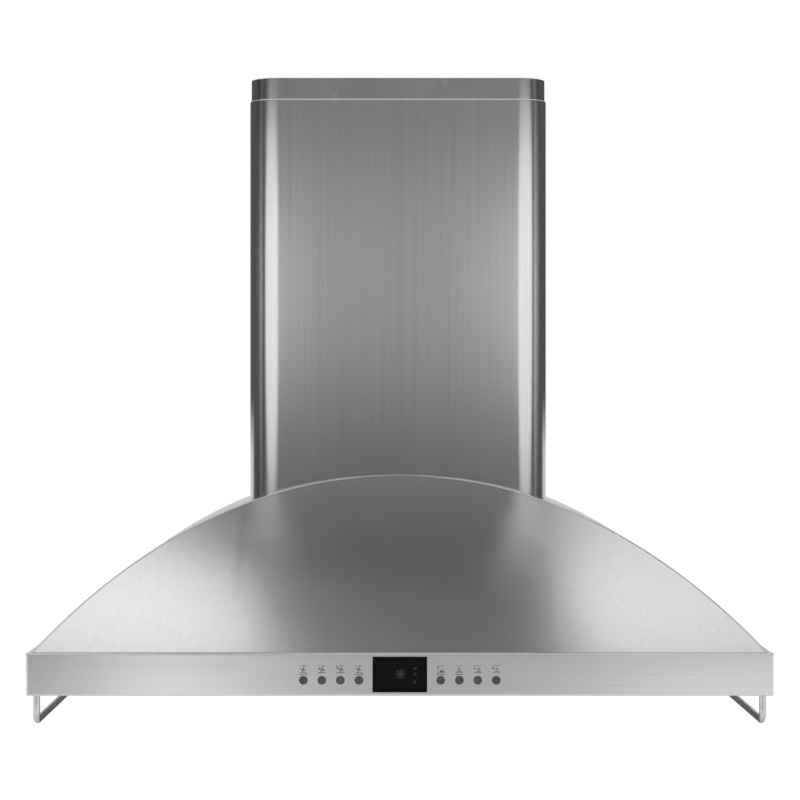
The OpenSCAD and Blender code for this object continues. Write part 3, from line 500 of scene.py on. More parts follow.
printInk = moulded("printInk", (0.05, 0.05, 0.052), 0.55, 0.08, 6000, 0.004 * mm)
glassInk = moulded("glassInk", (0.024, 0.028, 0.026), 0.3, 0.08, 6000, 0.002 * mm)


def lensGlass():
    # frosted lens of the lamps
    material, tree, shader = newMaterial("frostedGlass", Transmission_Weight=0.85, IOR=1.46)
    skin = useGroup(tree, mouldedSkin, Per_Metre=3500.0)
    cloud = ranged(tree, skin.outputs["Cloud"], 0, 1)
    feed(shader, "Base Color", blend(tree, cloud, (0.86, 0.87, 0.86), (0.93, 0.93, 0.92)))
    feed(shader, "Roughness", ranged(tree, skin.outputs["Cloud"], 0.4, 0.5))
    feed(shader, "Normal", bump(tree, skin.outputs["Skin"], 0.03 * mm, 0.6))
    return material


def circuitFinish():
    # solder mask with paler tracks under it
    material, tree, shader = newMaterial("circuitBoard", Coat_Weight=0.4, Coat_Roughness=0.25)
    place = node(tree, "TexCoord")
    tracks = node(tree, "TexBrick", {"Scale": 160.0, "Mortar Size": 0.04, "Row Height": 0.35,
                                               "Brick Width": 1.1, "Mortar Smooth": 0.1})
    turn = node(tree, "Mapping", {"Rotation": (pi / 2, 0, 0)})
    feed(turn, "Vector", place.outputs["Object"])
    feed(tracks, "Vector", turn.outputs[0])
    cloud = useGroup(tree, mouldedSkin, Per_Metre=2600.0)
    mask = math2(tree, "MULTIPLY", tracks.outputs["Fac"], 0.8)
    mask = math2(tree, "ADD", mask, math2(tree, "MULTIPLY", cloud.outputs["Cloud"], 0.25))
    feed(shader, "Base Color", blend(tree, mask, (0.008, 0.06, 0.025), (0.03, 0.15, 0.06)))
    feed(shader, "Roughness", ranged(tree, cloud.outputs["Cloud"], 0.35, 0.5))
    feed(shader, "Normal", bump(tree, tracks.outputs["Fac"], 0.03 * mm, 0.5))
    return material


windowLow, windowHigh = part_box("display_window")
windowLook = {"border": 2.4 * mm, "fade": 0.3 * mm, "edge": 0.35 * mm, "corner": 0.8 * mm,
              "borderTone": (0.0012, 0.0012, 0.0013), "fieldTone": (0.0038, 0.0038, 0.0041)}


def windowFinish():
    # black glass: a jet black printed border round a very dark clear field
    material, tree, shader = newMaterial("displayGlass", IOR=1.5, Specular_IOR_Level=0.1)
    place = node(tree, "TexCoord")
    split = node(tree, "SeparateXYZ")
    feed(split, 0, place.outputs["Object"])
    halfWide = (windowHigh.x - windowLow.x) / 2 - windowLook["border"]
    halfHigh = (windowHigh.z - windowLow.z) / 2 - windowLook["border"]
    middle = (windowHigh.z + windowLow.z) / 2
    across = math2(tree, "SUBTRACT", halfWide, math2(tree, "ABSOLUTE", split.outputs["X"], 0))
    above = math2(tree, "ABSOLUTE", math2(tree, "SUBTRACT", split.outputs["Z"], middle), 0)
    inside = math2(tree, "MINIMUM", across, math2(tree, "SUBTRACT", halfHigh, above))
    field = ranged(tree, inside, 0, 1, 0, windowLook["fade"])
    cloud = useGroup(tree, mouldedSkin, Per_Metre=1500.0)
    haze = math2(tree, "ADD", 0.8, math2(tree, "MULTIPLY", cloud.outputs["Cloud"], 0.3))
    field = math2(tree, "MULTIPLY", field, haze)
    feed(shader, "Base Color", blend(tree, field, windowLook["borderTone"], windowLook["fieldTone"]))
    feed(shader, "Roughness", ranged(tree, cloud.outputs["Cloud"], 0.05, 0.08))
    return material


lensMaterial = lensGlass()
boardMaterial = circuitFinish()
windowMaterial = windowFinish()
print("finishes made")


# Camera, at the photograph's place

cameraLook = {"place": (-0.016, -2.843, 0.3066), "lens": 103.8, "sensor": 36, "shift": (0.0199, -0.0074),
              "clip": (0.05, 60)}
cameraData = bpy.data.cameras.new("camera")
cameraData.lens, cameraData.sensor_width = cameraLook["lens"], cameraLook["sensor"]
cameraData.shift_x, cameraData.shift_y = cameraLook["shift"]
cameraData.clip_start, cameraData.clip_end = cameraLook["clip"]
camera = newObject("camera", cameraData)
camera.location = cameraLook["place"]
camera.rotation_euler = (pi / 2, 0, 0)
bpy.context.scene.camera = camera
bpy.context.scene.view_settings.view_transform = "Standard"


# Canopy

def canopyFace():
    # the sloping sheet: its foot is rounded where it meets the rim, its other edge follows the arch
    look = {"columns": 120, "round": 0.2 * mm, "gap": 0.2 * mm, "lift": 0.08 * mm, "edge": 0.2 * mm,
            "tip": 0.5 * mm, "least": 0.02 * mm}
    up = Vector((0, cos(faceSlope), sin(faceSlope)))
    out = Vector((0, -sin(faceSlope), cos(faceSlope)))
    foot = Vector((0, faceLow.y, bandHigh))
    edge = archRadius - sheet - look["gap"]
    halfWide = sqrt(edge ** 2 - (bandHigh + look["lift"] - archZ) ** 2) - look["tip"]
    low = look["lift"] / sin(faceSlope)
    back = low + sheet / tan(faceSlope)
    bm = bmesh.new()
    loops = []
    for c in range(look["columns"] + 1):
        x = -halfWide * cos(pi * c / look["columns"])
        top = (archZ + sqrt(edge ** 2 - x ** 2) - bandHigh) / sin(faceSlope)
        reach = min(look["round"], 0.45 * (top - low))
        tip = Vector((low, 0))
        below = tip + Vector((cos(faceSlope), -sin(faceSlope))) * reach
        above = tip + Vector((1, 0)) * reach
        section = [(min(back, top - look["least"]), -sheet)]
        section += [below.lerp(tip, t).lerp(tip.lerp(above, t), t) for t in (k / 5 for k in range(6))]
        section += [(top - min(look["edge"], 0.3 * (top - low)), 0), (top, -look["edge"]), (top, -sheet)]
        loops.append([foot + Vector((x, 0, 0)) + up * v + out * n for v, n in section])
    loft(bm, loops)
    makePiece("face_sheet", bm, "hood", faceSteel, ["canopy_face"], 50)


def canopyArch():
    # the barrel sheet, with a rolled front edge and the opening for the duct under the chimney
    look = {"columns": 160, "steps": 6, "roll": 1.0 * mm, "half": chimneyWide / 2 - 50 * mm,
            "front": -(chimneyFront - 8 * mm), "back": -12 * mm}
    bm = bmesh.new()
    inner, outer = archRadius - sheet, archRadius

    def spot(share, rho, y=None):
        # a point of the barrel: share runs from -1 to 1 round it, and without y it lies on the slope
        theta = share * acos((bandHigh - archZ) / rho)
        z = archZ + rho * cos(theta)
        front = faceLow.y + (z - bandHigh) / tan(faceSlope)
        return Vector((rho * sin(theta), front if y is None else y, z))
    loops = []
    for c in range(look["columns"] + 1):
        share = -1 + 2 * c / look["columns"]
        foot = spot(share, inner)
        start, corner = foot.lerp(spot(share, outer, foot.y), 0.15), spot(share, outer, foot.y)
        stop = spot(share, outer, foot.y + look["roll"])
        ring = [foot]
        ring += [start.lerp(corner, t).lerp(corner.lerp(stop, t), t) for t in (k / 5 for k in range(6))]
        front, steps = stop.y, look["steps"]
        ring += [spot(share, outer, front * (1 - k / steps)) for k in range(1, steps + 1)]
        ring += [spot(share, inner, front * k / steps) for k in range(steps)]
        loops.append(ring)
    loft(bm, loops)
    piece = makePiece("arch_sheet", bm, "hood", archSteel, ["canopy_arch"], 35)
    cutter = bmesh.new()
    corners = [(-1, look["front"]), (1, look["front"]), (1, look["back"]), (-1, look["back"])]
    loft(cutter, [[Vector((s * look["half"], y, z)) for s, y in corners]
                  for z in (bandHigh, 2 * archHigh.z)])
    carve(piece, cutter)


def fasciaTray():
    # the rim's front: a tray of sheet with rounded corners, bent back at its foot, head and sides
    look = {"corner": 2.5 * mm, "least": 0.2 * mm, "top": 1.9 * mm, "bottom": 1.6 * mm, "steps": 6,
            "turns": 5, "side": 12 * mm}
    half = hoodWide / 2

    def plan(t, z):
        # the outline at one height, drawn in by t and open at the back
        r = max(look["corner"] - t, look["least"])
        back = frontY + look["side"]
        path = [(t - half, back)]
        for side, start in ((-1, pi), (1, 1.5 * pi)):
            path += quarter(side * (half - look["corner"]), frontY + look["corner"], r, start,
                            look["steps"])
        path.append((half - t, back))
        return [Vector((x, y, z)) for x, y in path]

    def levels(t):
        # (drawn in by, height) up the wall, with the bends at its foot and head
        low, high = look["bottom"] - t, look["top"] - t
        turns = [pi / 2 * k / look["turns"] for k in range(look["turns"] + 1)]
        made = [(look["bottom"] - low * sin(a), look["bottom"] - low * cos(a)) for a in turns]
        return made + [(look["top"] - high * cos(a), bandHigh - look["top"] + high * sin(a))
                       for a in turns]
    bm = bmesh.new()
    rings = []
    for thick in (0, sheet):
        shell = loft(bm, [plan(t, z) for t, z in levels(thick)], False, False, False)
        bm.faces.new(shell[0])
        bm.faces.new(shell[-1])
        rings.append(shell)
    a, b = rings
    for side in (0, -1):
        for j in range(len(a) - 1):
            bm.faces.new((a[j][side], a[j + 1][side], b[j + 1][side], b[j][side]))
    for j in (0, -1):
        bm.faces.new((a[j][0], a[j][-1], b[j][-1], b[j][0]))
    piece = makePiece("fascia", bm, "hood", bandSteel, ["control_fascia"], 35)
    carveFascia(piece)


buttonLook = {"radius": 3.8 * mm, "gap": 0.3 * mm, "sides": 56}
holeLook = {"flare": 0.25 * mm, "deep": 2 * mm, "windowGap": 0.2 * mm, "sides": 48}


def buttonPlace(i):
    # the middle of a button's front
    low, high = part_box(f"button_{i}")
    return Vector(((low.x + high.x) / 2, low.y, (low.z + high.z) / 2))


def flared(size):
    # the steps of a cut that widens to the front: (size, depth)
    flare = holeLook["flare"]
    return [(size + 5 * flare, -4 * flare), (size + flare, 0), (size, flare), (size, holeLook["deep"])]


def carveFascia(piece):
    # button holes and the window's opening, each with a small flare at the front
    cutter = bmesh.new()
    for i in range(1, 9):
        c = buttonPlace(i)
        turned(cutter, flared(buttonLook["radius"] + buttonLook["gap"]),
               lambda u, v, h: Vector((c.x + u, frontY + h, c.z + v)), holeLook["sides"])
    loops = []
    for grow, h in flared(holeLook["windowGap"]):
        loops.append([Vector((x, frontY + h, z)) for x, z in (
            (windowLow.x - grow, windowLow.z - grow), (windowHigh.x + grow, windowLow.z - grow),
            (windowHigh.x + grow, windowHigh.z + grow), (windowLow.x - grow, windowHigh.z + grow))])
    loft(cutter, loops)
    carve(piece, cutter)


def fasciaFlange():
    # the flange at the foot of the fascia, which the pan is screwed to
    look = {"front": 11.8 * mm, "back": 30 * mm, "edge": 0.2 * mm}
    half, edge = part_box("underside_pan")[1].x, look["edge"]
    front, back = frontY + look["front"], frontY + look["back"]
    bm = bmesh.new()
    path = [Vector(p) for p in ((-half, front), (half, front), (half, back), (-half, back))]
    plate(bm, path, [(edge, 0), (0, edge), (0, sheet - edge), (edge, sheet)],
          lambda u, v, h: Vector((u, v, h)))
    makePiece("fascia_flange", bm, "hood", bandSteel)


def rimSides():
    look = {"bottom": 13 * mm, "top": 18 * mm, "bend": 2.0 * mm}
    half = hoodWide / 2
    for name, side in (("rim_left", -1), ("rim_right", 1)):
        low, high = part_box(name)
        corners = [(side * (half - look["bottom"]), 0, 0), (side * half, 0, look["bend"]),
                   (side * half, bandHigh, look["bend"]), (side * (half - look["top"]), bandHigh, 0)]
        bm = bmesh.new()
        sheetStrip(bm, corners, side * sheet, lambda u, v, w: Vector((u, w, v)), (low.y, high.y))
        makePiece(name + "_sheet", bm, "hood", bandSteel, [name])


canopyFace()
canopyArch()
fasciaTray()
fasciaFlange()
rimSides()
print("canopy made")


# Chimney

coverLook = {"return": 12 * mm, "fold": 1.6 * mm, "hem": 0.55 * mm, "ease": 0.3 * mm, "clear": 0.2 * mm}
lowerLook = dict(coverLook, corner=34 * mm, roll=1.7 * mm, step=6 * mm)
upperLook = dict(coverLook, corner=32.5 * mm, roll=0.8 * mm, step=12 * mm)


def coverSheet(name, body, footOf, look, material):
    # a folded cover: its plan runs round the front from one rear return to the other
    low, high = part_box(name)
    half, back, front, top = high.x, high.y, low.y, high.z
    fold, hem, roll, ease = look["fold"], look["hem"], look["roll"], look["ease"]
    corners = [(look["return"] - half, back, 0), (-half, back, fold), (-half, front, look["corner"]),
               (half, front, look["corner"]), (half, back, fold), (half - look["return"], back, 0)]
    path = denser(roundedPath(corners), look["step"])
    turns = [pi / 10 * k for k in range(6)]
    loops = []
    for p, q in zip(path, leftOf(path, sheet)):
        ring = [(1, footOf(q.x)), (ease / sheet, footOf(p.x)), (0, footOf(p.x) + ease)]
        ring += [(hem * (1 - cos(a)) / sheet, top - roll * (1 - sin(a))) for a in turns]
        ring.append((1, top))
        loops.append([Vector((*p.lerp(q, t), z)) for t, z in ring])
    bm = bmesh.new()
    loft(bm, loops)
    makePiece(name.replace("cover", "sheet"), bm, body, material, [name])


def onArch(x):
    # height of the lower cover's foot, just clear of the arch
    return archZ + sqrt((archRadius + coverLook["clear"]) ** 2 - x * x)


coverSheet("chimney_lower_cover", "hood", onArch, lowerLook, chimneySteel)
coverSheet("chimney_upper_cover", "upper_chimney", lambda x: upperFoot, upperLook, sleeveSteel)
print("chimney made")


# Rails

def rails():
    # a bent rod under each side of the rim
    look = {"bend": 12 * mm, "steps": 14, "sides": 32}
    for name in ("rail_left", "rail_right"):
        low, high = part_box(name)
        radius, x = (high.x - low.x) / 2, (low.x + high.x) / 2
        front, back, foot = low.y + radius, high.y - radius, low.z + radius
        path = [(front, high.z)]
        for middle, start in ((front + look["bend"], pi), (back - look["bend"], 1.5 * pi)):
            path += quarter(middle, foot + look["bend"], look["bend"], start, look["steps"])
        path.append((back, high.z))
        bm = bmesh.new()
        swept(bm, [Vector((x, y, z)) for y, z in path], radius, look["sides"])
        makePiece(name + "_rod", bm, "hood", rodSteel, [name])


rails()
print("rails made")


# Buttons, their printed marks and the display window

def buttons():
    # a slightly dished cap with a rounded rim, and the flange that keeps it in its hole
    dished = [(0.5, 0.30), (1.4, 0.26), (2.3, 0.15), (2.9, 0.04), (3.2, 0.0), (3.45, 0.05), (3.66, 0.18),
              (3.77, 0.34), (3.8, 0.52), (3.8, 2.5), (4.8, 2.5), (5.0, 2.7), (5.0, 3.6)]
    for i in range(1, 9):
        c = buttonPlace(i)
        bm = bmesh.new()
        turned(bm, [(r * mm, h * mm) for r, h in dished],
               lambda u, v, h: Vector((c.x + u, c.y + h, c.z + v)), buttonLook["sides"])
        makePiece(f"button_cap_{i}", bm, f"button_{i}", buttonPlastic, [f"button_{i}"], 40)


inkLook = {"thick": 0.05 * mm, "proud": 0.04 * mm}


class InkMarks:
    # thin printed marks on a flat front at depth y; sizes in millimetres
    def __init__(self, y):
        self.bm, self.y = bmesh.new(), y

    def shape(self, points):
        path = [Vector(p) * mm for p in points]
        front = self.y - inkLook["proud"]
        plate(self.bm, path, [(0, 0), (0, inkLook["thick"])], lambda u, v, h: Vector((u, front + h, v)))

    def bar(self, x, z, wide, high):
        self.shape([(x - wide / 2, z - high / 2), (x + wide / 2, z - high / 2),
                    (x + wide / 2, z + high / 2), (x - wide / 2, z + high / 2)])

    def disc(self, x, z, r, count=16):
        self.shape([(x + u, z + v) for u, v in circle(r, count)])

    def fan(self, x, z, r, blades=4, turn=75.0):
        leaf = [(0.12, -0.10), (0.5, -0.20), (0.92, -0.16), (1.0, 0.05), (0.85, 0.20), (0.45, 0.14),
                (0.12, 0.10)]
        slim = 0.62 if blades > 4 else 1
        for k in range(blades):
            a = radians(turn) + 2 * pi * k / blades
            along, across = Vector((cos(a), sin(a))) * r, Vector((-sin(a), cos(a))) * r
            self.shape([Vector((x, z)) + along * u + across * v * slim for u, v in leaf])
        self.disc(x, z, r * 0.17, 12)

    def moon(self, x, z, r):
        outer = [(radians(a), r) for a in range(-160, 41, 20)]
        inner = [(radians(a), 0.72 * r) for a in range(55, -176, -25)]
        self.shape([(x + s * cos(a), z + s * sin(a)) for a, s in outer]
                   + [(x + 0.18 * r + s * cos(a), z + 0.38 * r + s * sin(a)) for a, s in inner])

    def lamp(self, x, z, r):
        self.disc(x, z + r * 0.72, r * 0.3, 12)
        self.shape([(x - 0.28 * r, z + 0.55 * r), (x - 0.95 * r, z - 0.6 * r), (x - 0.62 * r, z - 0.6 * r),
                    (x - 0.02 * r, z + 0.5 * r)])
        self.shape([(x + 0.28 * r, z + 0.55 * r), (x + 0.02 * r, z + 0.5 * r), (x + 0.62 * r, z - 0.6 * r),
                    (x + 0.95 * r, z - 0.6 * r)])
        self.bar(x, z - 0.78 * r, 2.0 * r, 0.3 * r)


def buttonMarks():
    # above each button a picture between two bars, with a broken bar below on four of them; millimetres
    look = {"picture": 26.7, "wide": 8.0, "over": (30.6, 0.42), "under": (23.6, 0.55),
            "broken": (21.7, 0.75)}
    ink = InkMarks(frontY)
    for i in range(1, 9):
        x, z = buttonPlace(i).x / mm, look["picture"]
        for high, thick in (look["over"], look["under"]):
            ink.bar(x, high, look["wide"], thick)
        if i in (1, 4, 5, 6):
            high, thick = look["broken"]
            for part, wide in ((-2.6, 2.4), (0.1, 2.2), (2.7, 2.2)):
                ink.bar(x + part, high, wide, thick)
        if i in (1, 4):
            ink.fan(x - 0.2, z, 3.1)
        elif i == 2:
            ink.fan(x + 0.1, z, 3.3)
            ink.bar(x - 2.6, z + 1.4, 1.6, 0.7)
        elif i == 3:
            ink.fan(x + 0.5, z, 3.1)
            ink.fan(x - 3.1, z + 1.7, 1.7)
        elif i == 5:
            ink.fan(x - 3.0, z + 1.8, 1.7)
            ink.moon(x + 1.0, z - 0.4, 2.4)
        elif i == 6:
            ink.lamp(x, z, 2.3)
        elif i == 7:
            ink.bar(x - 3.1, z + 1.2, 1.8, 1.1)
            ink.lamp(x + 0.7, z, 2.3)
        else:
            ink.shape([(x - 4.3, z + 2.2), (x - 2.9, z - 0.1), (x - 1.5, z + 2.2)])
            ink.lamp(x + 0.8, z - 0.2, 2.0)
    makePiece("button_marks", ink.bm, "hood", printInk, (), 20)


def displayWindow():
    # a glass plate with eased edges and small corners, and faint marks on it
    half, middle = windowHigh.x, (windowLow.z + windowHigh.z) / 2
    deep, edge, bend = windowHigh.y - windowLow.y, windowLook["edge"], windowLook["corner"]
    path = roundedPath([(0, windowLow.z, 0), (half, windowLow.z, bend), (half, windowHigh.z, bend),
                        (-half, windowHigh.z, bend), (-half, windowLow.z, bend), (0, windowLow.z, 0)])[:-1]
    bm = bmesh.new()
    plate(bm, path, [(edge, 0), (edge * 0.3, edge * 0.3), (0, edge), (0, deep)],
          lambda u, v, h: Vector((u, windowLow.y + h, v)))
    makePiece("window_plate", bm, "hood", windowMaterial, ["display_window"], 20)
    ink = InkMarks(windowLow.y)
    high = middle / mm + 0.5
    ink.fan(0.6, high, 5.4, 8, 90.0)
    ink.moon(15.4, high + 6.6, 1.9)
    ink.fan(15.6, high - 0.3, 2.2)
    ink.lamp(15.0, high - 8.0, 1.7)
    makePiece("window_marks", ink.bm, "hood", glassInk, (), 20)


buttons()
buttonMarks()
displayWindow()
print("controls made")


# Lamps and filter latches on the underside

def lamps():
    # trim ring and lens of each lamp, turned from (radius, height) in millimetres
    ring = [(26.0, 18.0), (26.0, 13.1), (26.15, 12.75), (26.6, 12.4), (31.2, 12.4), (31.7, 12.55),
            (31.95, 12.85), (32.0, 13.2), (32.0, 13.8), (28.7, 13.8), (28.7, 18.0), (26.0, 18.0)]
    glass = [(1.0, 13.2)]
    for r, h in ((8.0, 13.2), (15.4, 13.22), (22.0, 13.3)):  # fine rings in the lens
        glass += [(r - 0.4, h), (r, h + 0.1), (r + 0.4, h)]
    glass += [(25.2, 13.4), (25.6, 13.6), (25.8, 13.9), (25.8, 15.2), (1.0, 15.2)]
    for side in ("left", "right"):
        low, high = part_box(f"lamp_bezel_{side}")
        x, y = (low.x + high.x) / 2, (low.y + high.y) / 2
        for name, part, slotName, material, profile in (
                ("trim", "bezel", "polished_steel", rodSteel, ring),
                ("glass", "lens", "frosted_glass", lensMaterial, glass)):
            bm = bmesh.new()
            solid = part == "lens"
            turned(bm, [(r * mm, h * mm) for r, h in profile], lambda u, v, h: Vector((x + u, y + v, h)),
                   sides=96, capStart=solid, capEnd=solid)
            makePiece(f"lamp_{name}_{side}", bm, "hood", material, [f"lamp_{part}_{side}"], 35)


def latches():
    # side view of a latch in millimetres: tongue to the front, ribbed finger tab at the back
    for side in ("left", "right"):
        low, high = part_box(f"filter_latch_{side}")
        nose, back, foot, top = low.y / mm, high.y / mm, low.z / mm, high.z / mm
        under = top - 2.6
        outline = [(nose, under + 1.0), (nose + 0.9, under), (back - 3.4, under), (back - 3.0, under - 0.4),
                   (back - 3.0, foot + 0.4), (back - 2.6, foot)]
        for k in range(4):
            outline += [(back - 2.2 + 0.5 * k, foot), (back - 1.95 + 0.5 * k, foot + 0.35)]
        outline += [(back - 0.2, foot + 0.1), (back, foot + 0.4), (back, top - 0.5), (back - 0.5, top),
                    (nose + 0.4, top), (nose, top - 0.4)]
        loops = []
        middle = Vector(((nose + back) / 2, (foot + top) / 2))
        for x, t in ((low.x, 0.25), (low.x + 0.3 * mm, 0), (high.x - 0.3 * mm, 0), (high.x, 0.25)):
            ring = []
            for p in outline:
                toward = (middle - Vector(p)).normalized() * t
                ring.append(Vector((x, (p[0] + toward.x) * mm, (p[1] + toward.y) * mm)))
            loops.append(ring)
        bm = bmesh.new()
        loft(bm, loops)
        makePiece(f"latch_grip_{side}", bm, f"latch_{side}", latchPlastic,
                  [f"filter_latch_{side}"], 30)


lamps()
latches()
print("underside made")


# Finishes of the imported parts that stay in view

slotFinish = {
    "canopy_steel": bandSteel, "galvanised_sheet": zinc, "pan_steel": panSteel,
    "fastener_steel": screwSteel, "polished_steel": rodSteel, "chimney_steel": chimneySteel,
    "blower_aluminium": blowerMetal,
    "motor_black": motorPaint, "white_plastic": whitePlastic, "latch_plastic": latchPlastic,
    "lamp_metal": lampPaint, "frosted_glass": lensMaterial, "housing_plastic": housingPlastic,
    "circuit_board": boardMaterial, "display_black": windowMaterial, "button_grey": buttonPlastic,
    "black_rubber": rubber,
}
# width of the eased edges in millimetres, 0.25 where none is given
edgeWidth = {"underside_pan": 0.4, "pan_screws": 0.35, "rail_nuts": 0.4, "blower_motor": 2.0,
             "run_capacitor": 0.8, "lamp_driver": 1.5, "cable_gland": 0.8, "junction_box": 0.3,
             "junction_cover": 0.5, "control_housing": 0.6, "filter_frame_left": 0.5,
             "filter_frame_right": 0.5, "motor_shaft": 0.5}

for part in frame["record"]["subparts"]:
    name = part["node"]
    if cadNodes[name].hide_render:
        continue
    skin = filterSteel if name.startswith("filter_") else slotFinish[part["material_slot"]]
    cadNodes[name].data.materials.clear()
    cadNodes[name].data.materials.append(skin)
    if name not in ("wiring_harness", "control_board"):
        easeEdges(name, edgeWidth.get(name, 0.25) * mm)
print("packed parts finished")


# Stage and light

def glowRamp(tree, value, stops):
    # strength along one direction; stops are (place, strength) in rising order
    first, last = stops[0][0], stops[-1][0]
    ramp = node(tree, "ValToRGB")
    feed(ramp, 0, ranged(tree, value, 0, 1, first, last))
    elements = ramp.color_ramp.elements
    for at, _ in stops[1:-1]:
        elements.new((at - first) / (last - first))
    for element, (at, strength) in zip(elements, stops):
        element.position = (at - first) / (last - first)
        element.color = (strength, strength, strength, 1)
    return ramp.outputs[0]


turnY = -0.2  # bent cards and the Turn direction go round this depth


def glowCard(name, rows, level, **ramps):
    # a card that only reflections see; each ramp is named by its direction: X, Y, Z or Turn, in degrees
    wide = len(rows[0])
    data = bpy.data.meshes.new(name)
    data.from_pydata([p for row in rows for p in row], [],
                     [(k * wide + i, k * wide + i + 1, (k + 1) * wide + i + 1, (k + 1) * wide + i)
                      for k in range(len(rows) - 1) for i in range(wide - 1)])
    card = newObject(name, data)
    material = bpy.data.materials.new(name)
    material.use_nodes = True
    tree = material.node_tree
    tree.nodes.clear()
    place = node(tree, "NewGeometry")
    split = node(tree, "SeparateXYZ")
    feed(split, 0, place.outputs["Position"])
    turn = math2(tree, "ARCTAN2", split.outputs["X"], math2(tree, "SUBTRACT", turnY, split.outputs["Y"]))
    values = {"X": split.outputs["X"], "Y": split.outputs["Y"], "Z": split.outputs["Z"],
              "Turn": math2(tree, "DEGREES", turn, 0)}
    strength = level
    for direction, stops in ramps.items():
        strength = math2(tree, "MULTIPLY", glowRamp(tree, values[direction], stops), strength)
    glow = node(tree, "Emission", {"Color": (1, 1, 1, 1), "Strength": level})
    if ramps:
        feed(glow, "Strength", strength)
    feed(node(tree, "OutputMaterial"), "Surface", glow.outputs[0])
    data.materials.append(material)
    card.visible_camera = card.visible_diffuse = card.visible_transmission = card.visible_shadow = False


def upright(foot, head, y, z0, z1):
    # a standing card; foot and head are the two ends of its lower and upper edge
    return [[(x, y, z0) for x in foot], [(x, y, z1) for x in head]]


def flat(x0, x1, y0, y1, z):
    # a level card
    return [[(x0, y0, z), (x1, y0, z)], [(x0, y1, z), (x1, y1, z)]]


def sideways(x, y0, y1, z0, z1):
    # a standing card that faces left or right
    return [[(x, y0, z0), (x, y1, z0)], [(x, y0, z1), (x, y1, z1)]]


def bentRow(radius, start, end, z, steps=24):
    # one row of a card bent about the chimney, from one turn in degrees to another
    turns = [radians(start + (end - start) * k / steps) for k in range(steps + 1)]
    return [(radius * sin(a), turnY - radius * cos(a), z) for a in turns]


glowCard("roundScreen", [bentRow(3.6, -80, 80, z) for z in (-0.15, 2.2)], 1.0,
         Turn=[(-80, 0.3), (-30, 0.45), (-10, 0.8), (-5, 0.92), (0, 1.0), (5, 0.98), (10, 0.95), (30, 0.5),
               (80, 0.3)],
         Z=[(-0.15, 0.05), (0.1, 0.06), (0.3, 0.22), (0.55, 0.36), (0.8, 0.34), (0.95, 0.27), (1.07, 0.15),
            (1.13, 0.2), (1.2, 0.3), (2.2, 0.3)])
# (height, near turn, far turn) of the two tall soft boxes, left and right, which narrow to both ends
boxShape = {
    -1: [(0.04, 26, 36), (0.12, 13, 49), (0.35, 7, 57), (0.64, 6, 58), (0.88, 8, 55), (0.97, 14, 50),
         (1.04, 26, 42)],
    1: [(0.0, 26, 42), (0.12, 13, 57), (0.35, 7, 62), (0.64, 6, 63), (0.88, 8, 62), (0.98, 14, 58),
        (1.06, 26, 48)]}
# strength of the two side flags from front to back
flagFade = {-1: [(-0.55, 0.55), (-0.4, 0.33), (-0.27, 0.17), (-0.05, 0.12)],
            1: [(-0.55, 0.8), (-0.4, 0.55), (-0.27, 0.33), (-0.05, 0.13)]}
for side in (-1, 1):
    rows = [bentRow(3.5, side * near, side * far, z) for z, near, far in boxShape[side]]
    glowCard(f"tallBox{side}", rows, 1.15,
             Z=[(0.0, 0.6), (0.3, 0.92), (0.64, 1.0), (0.86, 1.0), (0.95, 0.92), (1.05, 0.6)])
    glowCard(f"flag{side}", sideways(side * 1.1, -0.55, -0.05, -0.02, 1.1), 1.0, Y=flagFade[side],
             Z=[(-0.02, 0.2), (0.17, 0.35), (0.256, 0.58), (0.367, 0.85), (0.496, 1.0), (0.607, 0.75),
                (0.687, 0.55), (0.76, 0.35), (1.1, 0.25)])
    glowCard(f"farFlag{side}", sideways(side * 1.1, -0.05, 3.0, -0.02, 1.1), 0.1)
glowCard("lowCard", upright((-2.0, 2.0), (-2.0, 2.0), -3.9, -0.9, -0.15), 1.0,
         X=[(-2.0, 0.3), (-0.92, 0.38), (-0.78, 0.55), (-0.64, 1.55), (-0.45, 1.3), (-0.28, 0.64),
            (-0.2, 0.5), (0.15, 0.54), (0.45, 0.6), (0.62, 1.0), (0.75, 1.05), (2.0, 0.8)],
         Z=[(-0.9, 1.04), (-0.55, 1.02), (-0.38, 1.0), (-0.28, 0.88), (-0.15, 0.6)])
glowCard("overhead", flat(-0.5, 0.4, -1.05, -0.54, 2.2), 1.0,
         X=[(-0.5, 0.13), (-0.2, 0.11), (0.0, 0.075), (0.4, 0.07)])
glowCard("overheadLeft", flat(-1.2, -0.2, -0.54, 0.0, 2.2), 0.22)
glowCard("overheadRight", flat(0.2, 0.9, -0.54, 0.0, 2.2), 0.25)
glowCard("ceiling", flat(-2.6, 2.6, -0.2, 1.6, 2.5), 1.0,
         X=[(-2.6, 0.92), (-0.9, 1.0), (-0.7, 1.1), (-0.55, 1.2), (-0.4, 1.18), (-0.2, 1.05), (0.45, 1.06),
            (0.6, 1.0), (0.75, 0.88), (2.6, 0.8)],
         Y=[(-0.2, 1.25), (0.2, 1.25), (0.3, 1.2), (0.35, 1.0), (0.41, 0.78), (0.5, 0.74), (1.6, 0.74)])
glowCard("darkStrip", upright((-0.21, 0.205), (-0.16, 0.38), -0.2, 0.7, 1.9), 1.0,
         X=[(-0.21, 0.22), (-0.12, 0.19), (0.0, 0.15), (0.1, 0.13), (0.38, 0.12)])
glowCard("sideShade", upright((-0.66, -0.12), (-0.31, -0.12), 0.15, 0.95, 1.98), 0.12)
glowCard("sideShadeRight", upright((0.19, 0.27), (0.19, 0.34), 0.15, 1.1, 1.95), 0.22)
glowCard("backWall", upright((-0.9, 0.9), (-0.9, 0.9), 0.25, -0.7, 0.8), 1.0,
         Z=[(-0.7, 0.12), (0.03, 0.12), (0.1, 0.75), (0.22, 0.75), (0.3, 0.1), (0.8, 0.1)])


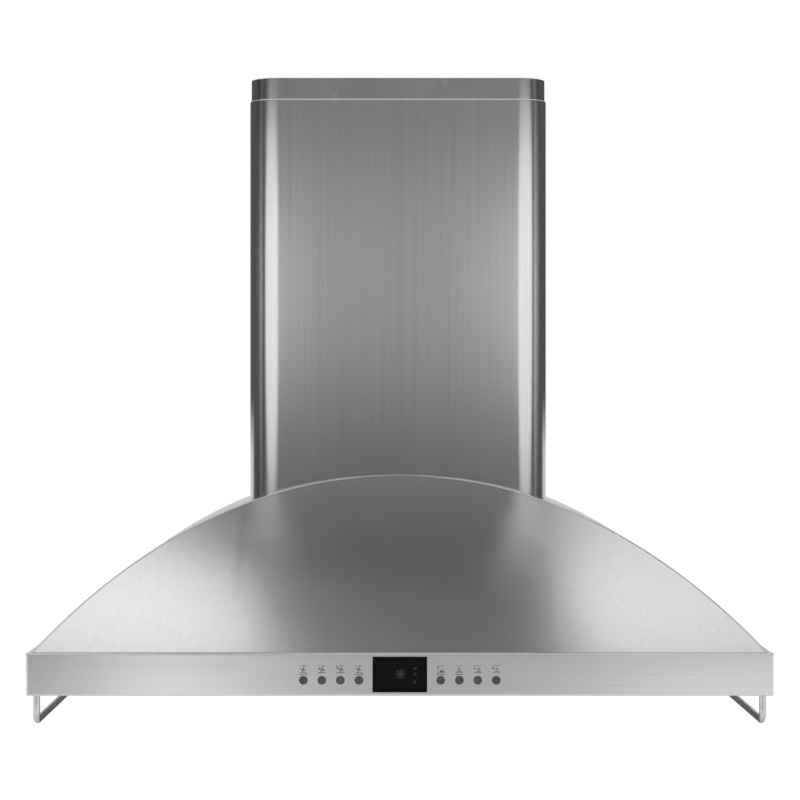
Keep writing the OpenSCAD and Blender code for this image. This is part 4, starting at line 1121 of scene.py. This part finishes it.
def softLight(name, place, aim, size, watts):
    data = bpy.data.lights.new(name, "AREA")
    data.shape, data.size, data.energy = "DISK", size, watts
    lamp = newObject(name, data)
    lamp.location = place
    lamp.rotation_euler = (Vector(aim) - Vector(place)).to_track_quat("-Z", "Y").to_euler()
    lamp.visible_glossy = False


softLight("key", (-1.6, -2.2, 2.6), (0, -0.2, 0.2), 2.4, 40)
softLight("fill", (1.9, -2.4, 1.2), (0, -0.2, 0.2), 2.0, 20)
softLight("top", (0, -0.6, 3.0), (0, -0.2, 0.3), 2.0, 25)


def floorDisc():
    # a pale floor that fades out, and can't be seen from below
    look = {"radius": 3.0, "low": -0.7, "sides": 96, "fade": (1.2, 2.9)}
    bm = bmesh.new()
    bm.faces.new([bm.verts.new((x, y, look["low"])) for x, y in circle(look["radius"], look["sides"])])
    data = bpy.data.meshes.new("floor")
    bm.to_mesh(data)
    bm.free()
    floor = newObject("floor", data)
    material, tree, shader = newMaterial("paleFloor", Base_Color=(0.9, 0.9, 0.9, 1), Roughness=0.9)
    place = node(tree, "NewGeometry")
    far = node(tree, "VectorMath", operation="LENGTH")
    feed(far, 0, place.outputs["Position"])
    fade = ranged(tree, far.outputs["Value"], 1, 0, *look["fade"])
    path = node(tree, "LightPath")
    under = math2(tree, "MULTIPLY", place.outputs["Backfacing"], path.outputs["Is Camera Ray"])
    feed(shader, "Alpha", math2(tree, "MULTIPLY", fade, math2(tree, "SUBTRACT", 1, under)))
    data.materials.append(material)


floorDisc()
world = bpy.data.worlds.new("studio")
world.use_nodes = True
bpy.context.scene.world = world
sky = world.node_tree
seen = node(sky, "LightPath")
bright = math2(sky, "MAXIMUM", seen.outputs["Is Camera Ray"], seen.outputs["Is Glossy Ray"])
bright = math2(sky, "MAXIMUM", bright, seen.outputs["Is Transmission Ray"])
background = sky.nodes["Background"]
background.inputs["Color"].default_value = (1, 1, 1, 1)
feed(background, "Strength", math2(sky, "ADD", 0.5, math2(sky, "MULTIPLY", bright, 0.5)))
print("stage made")
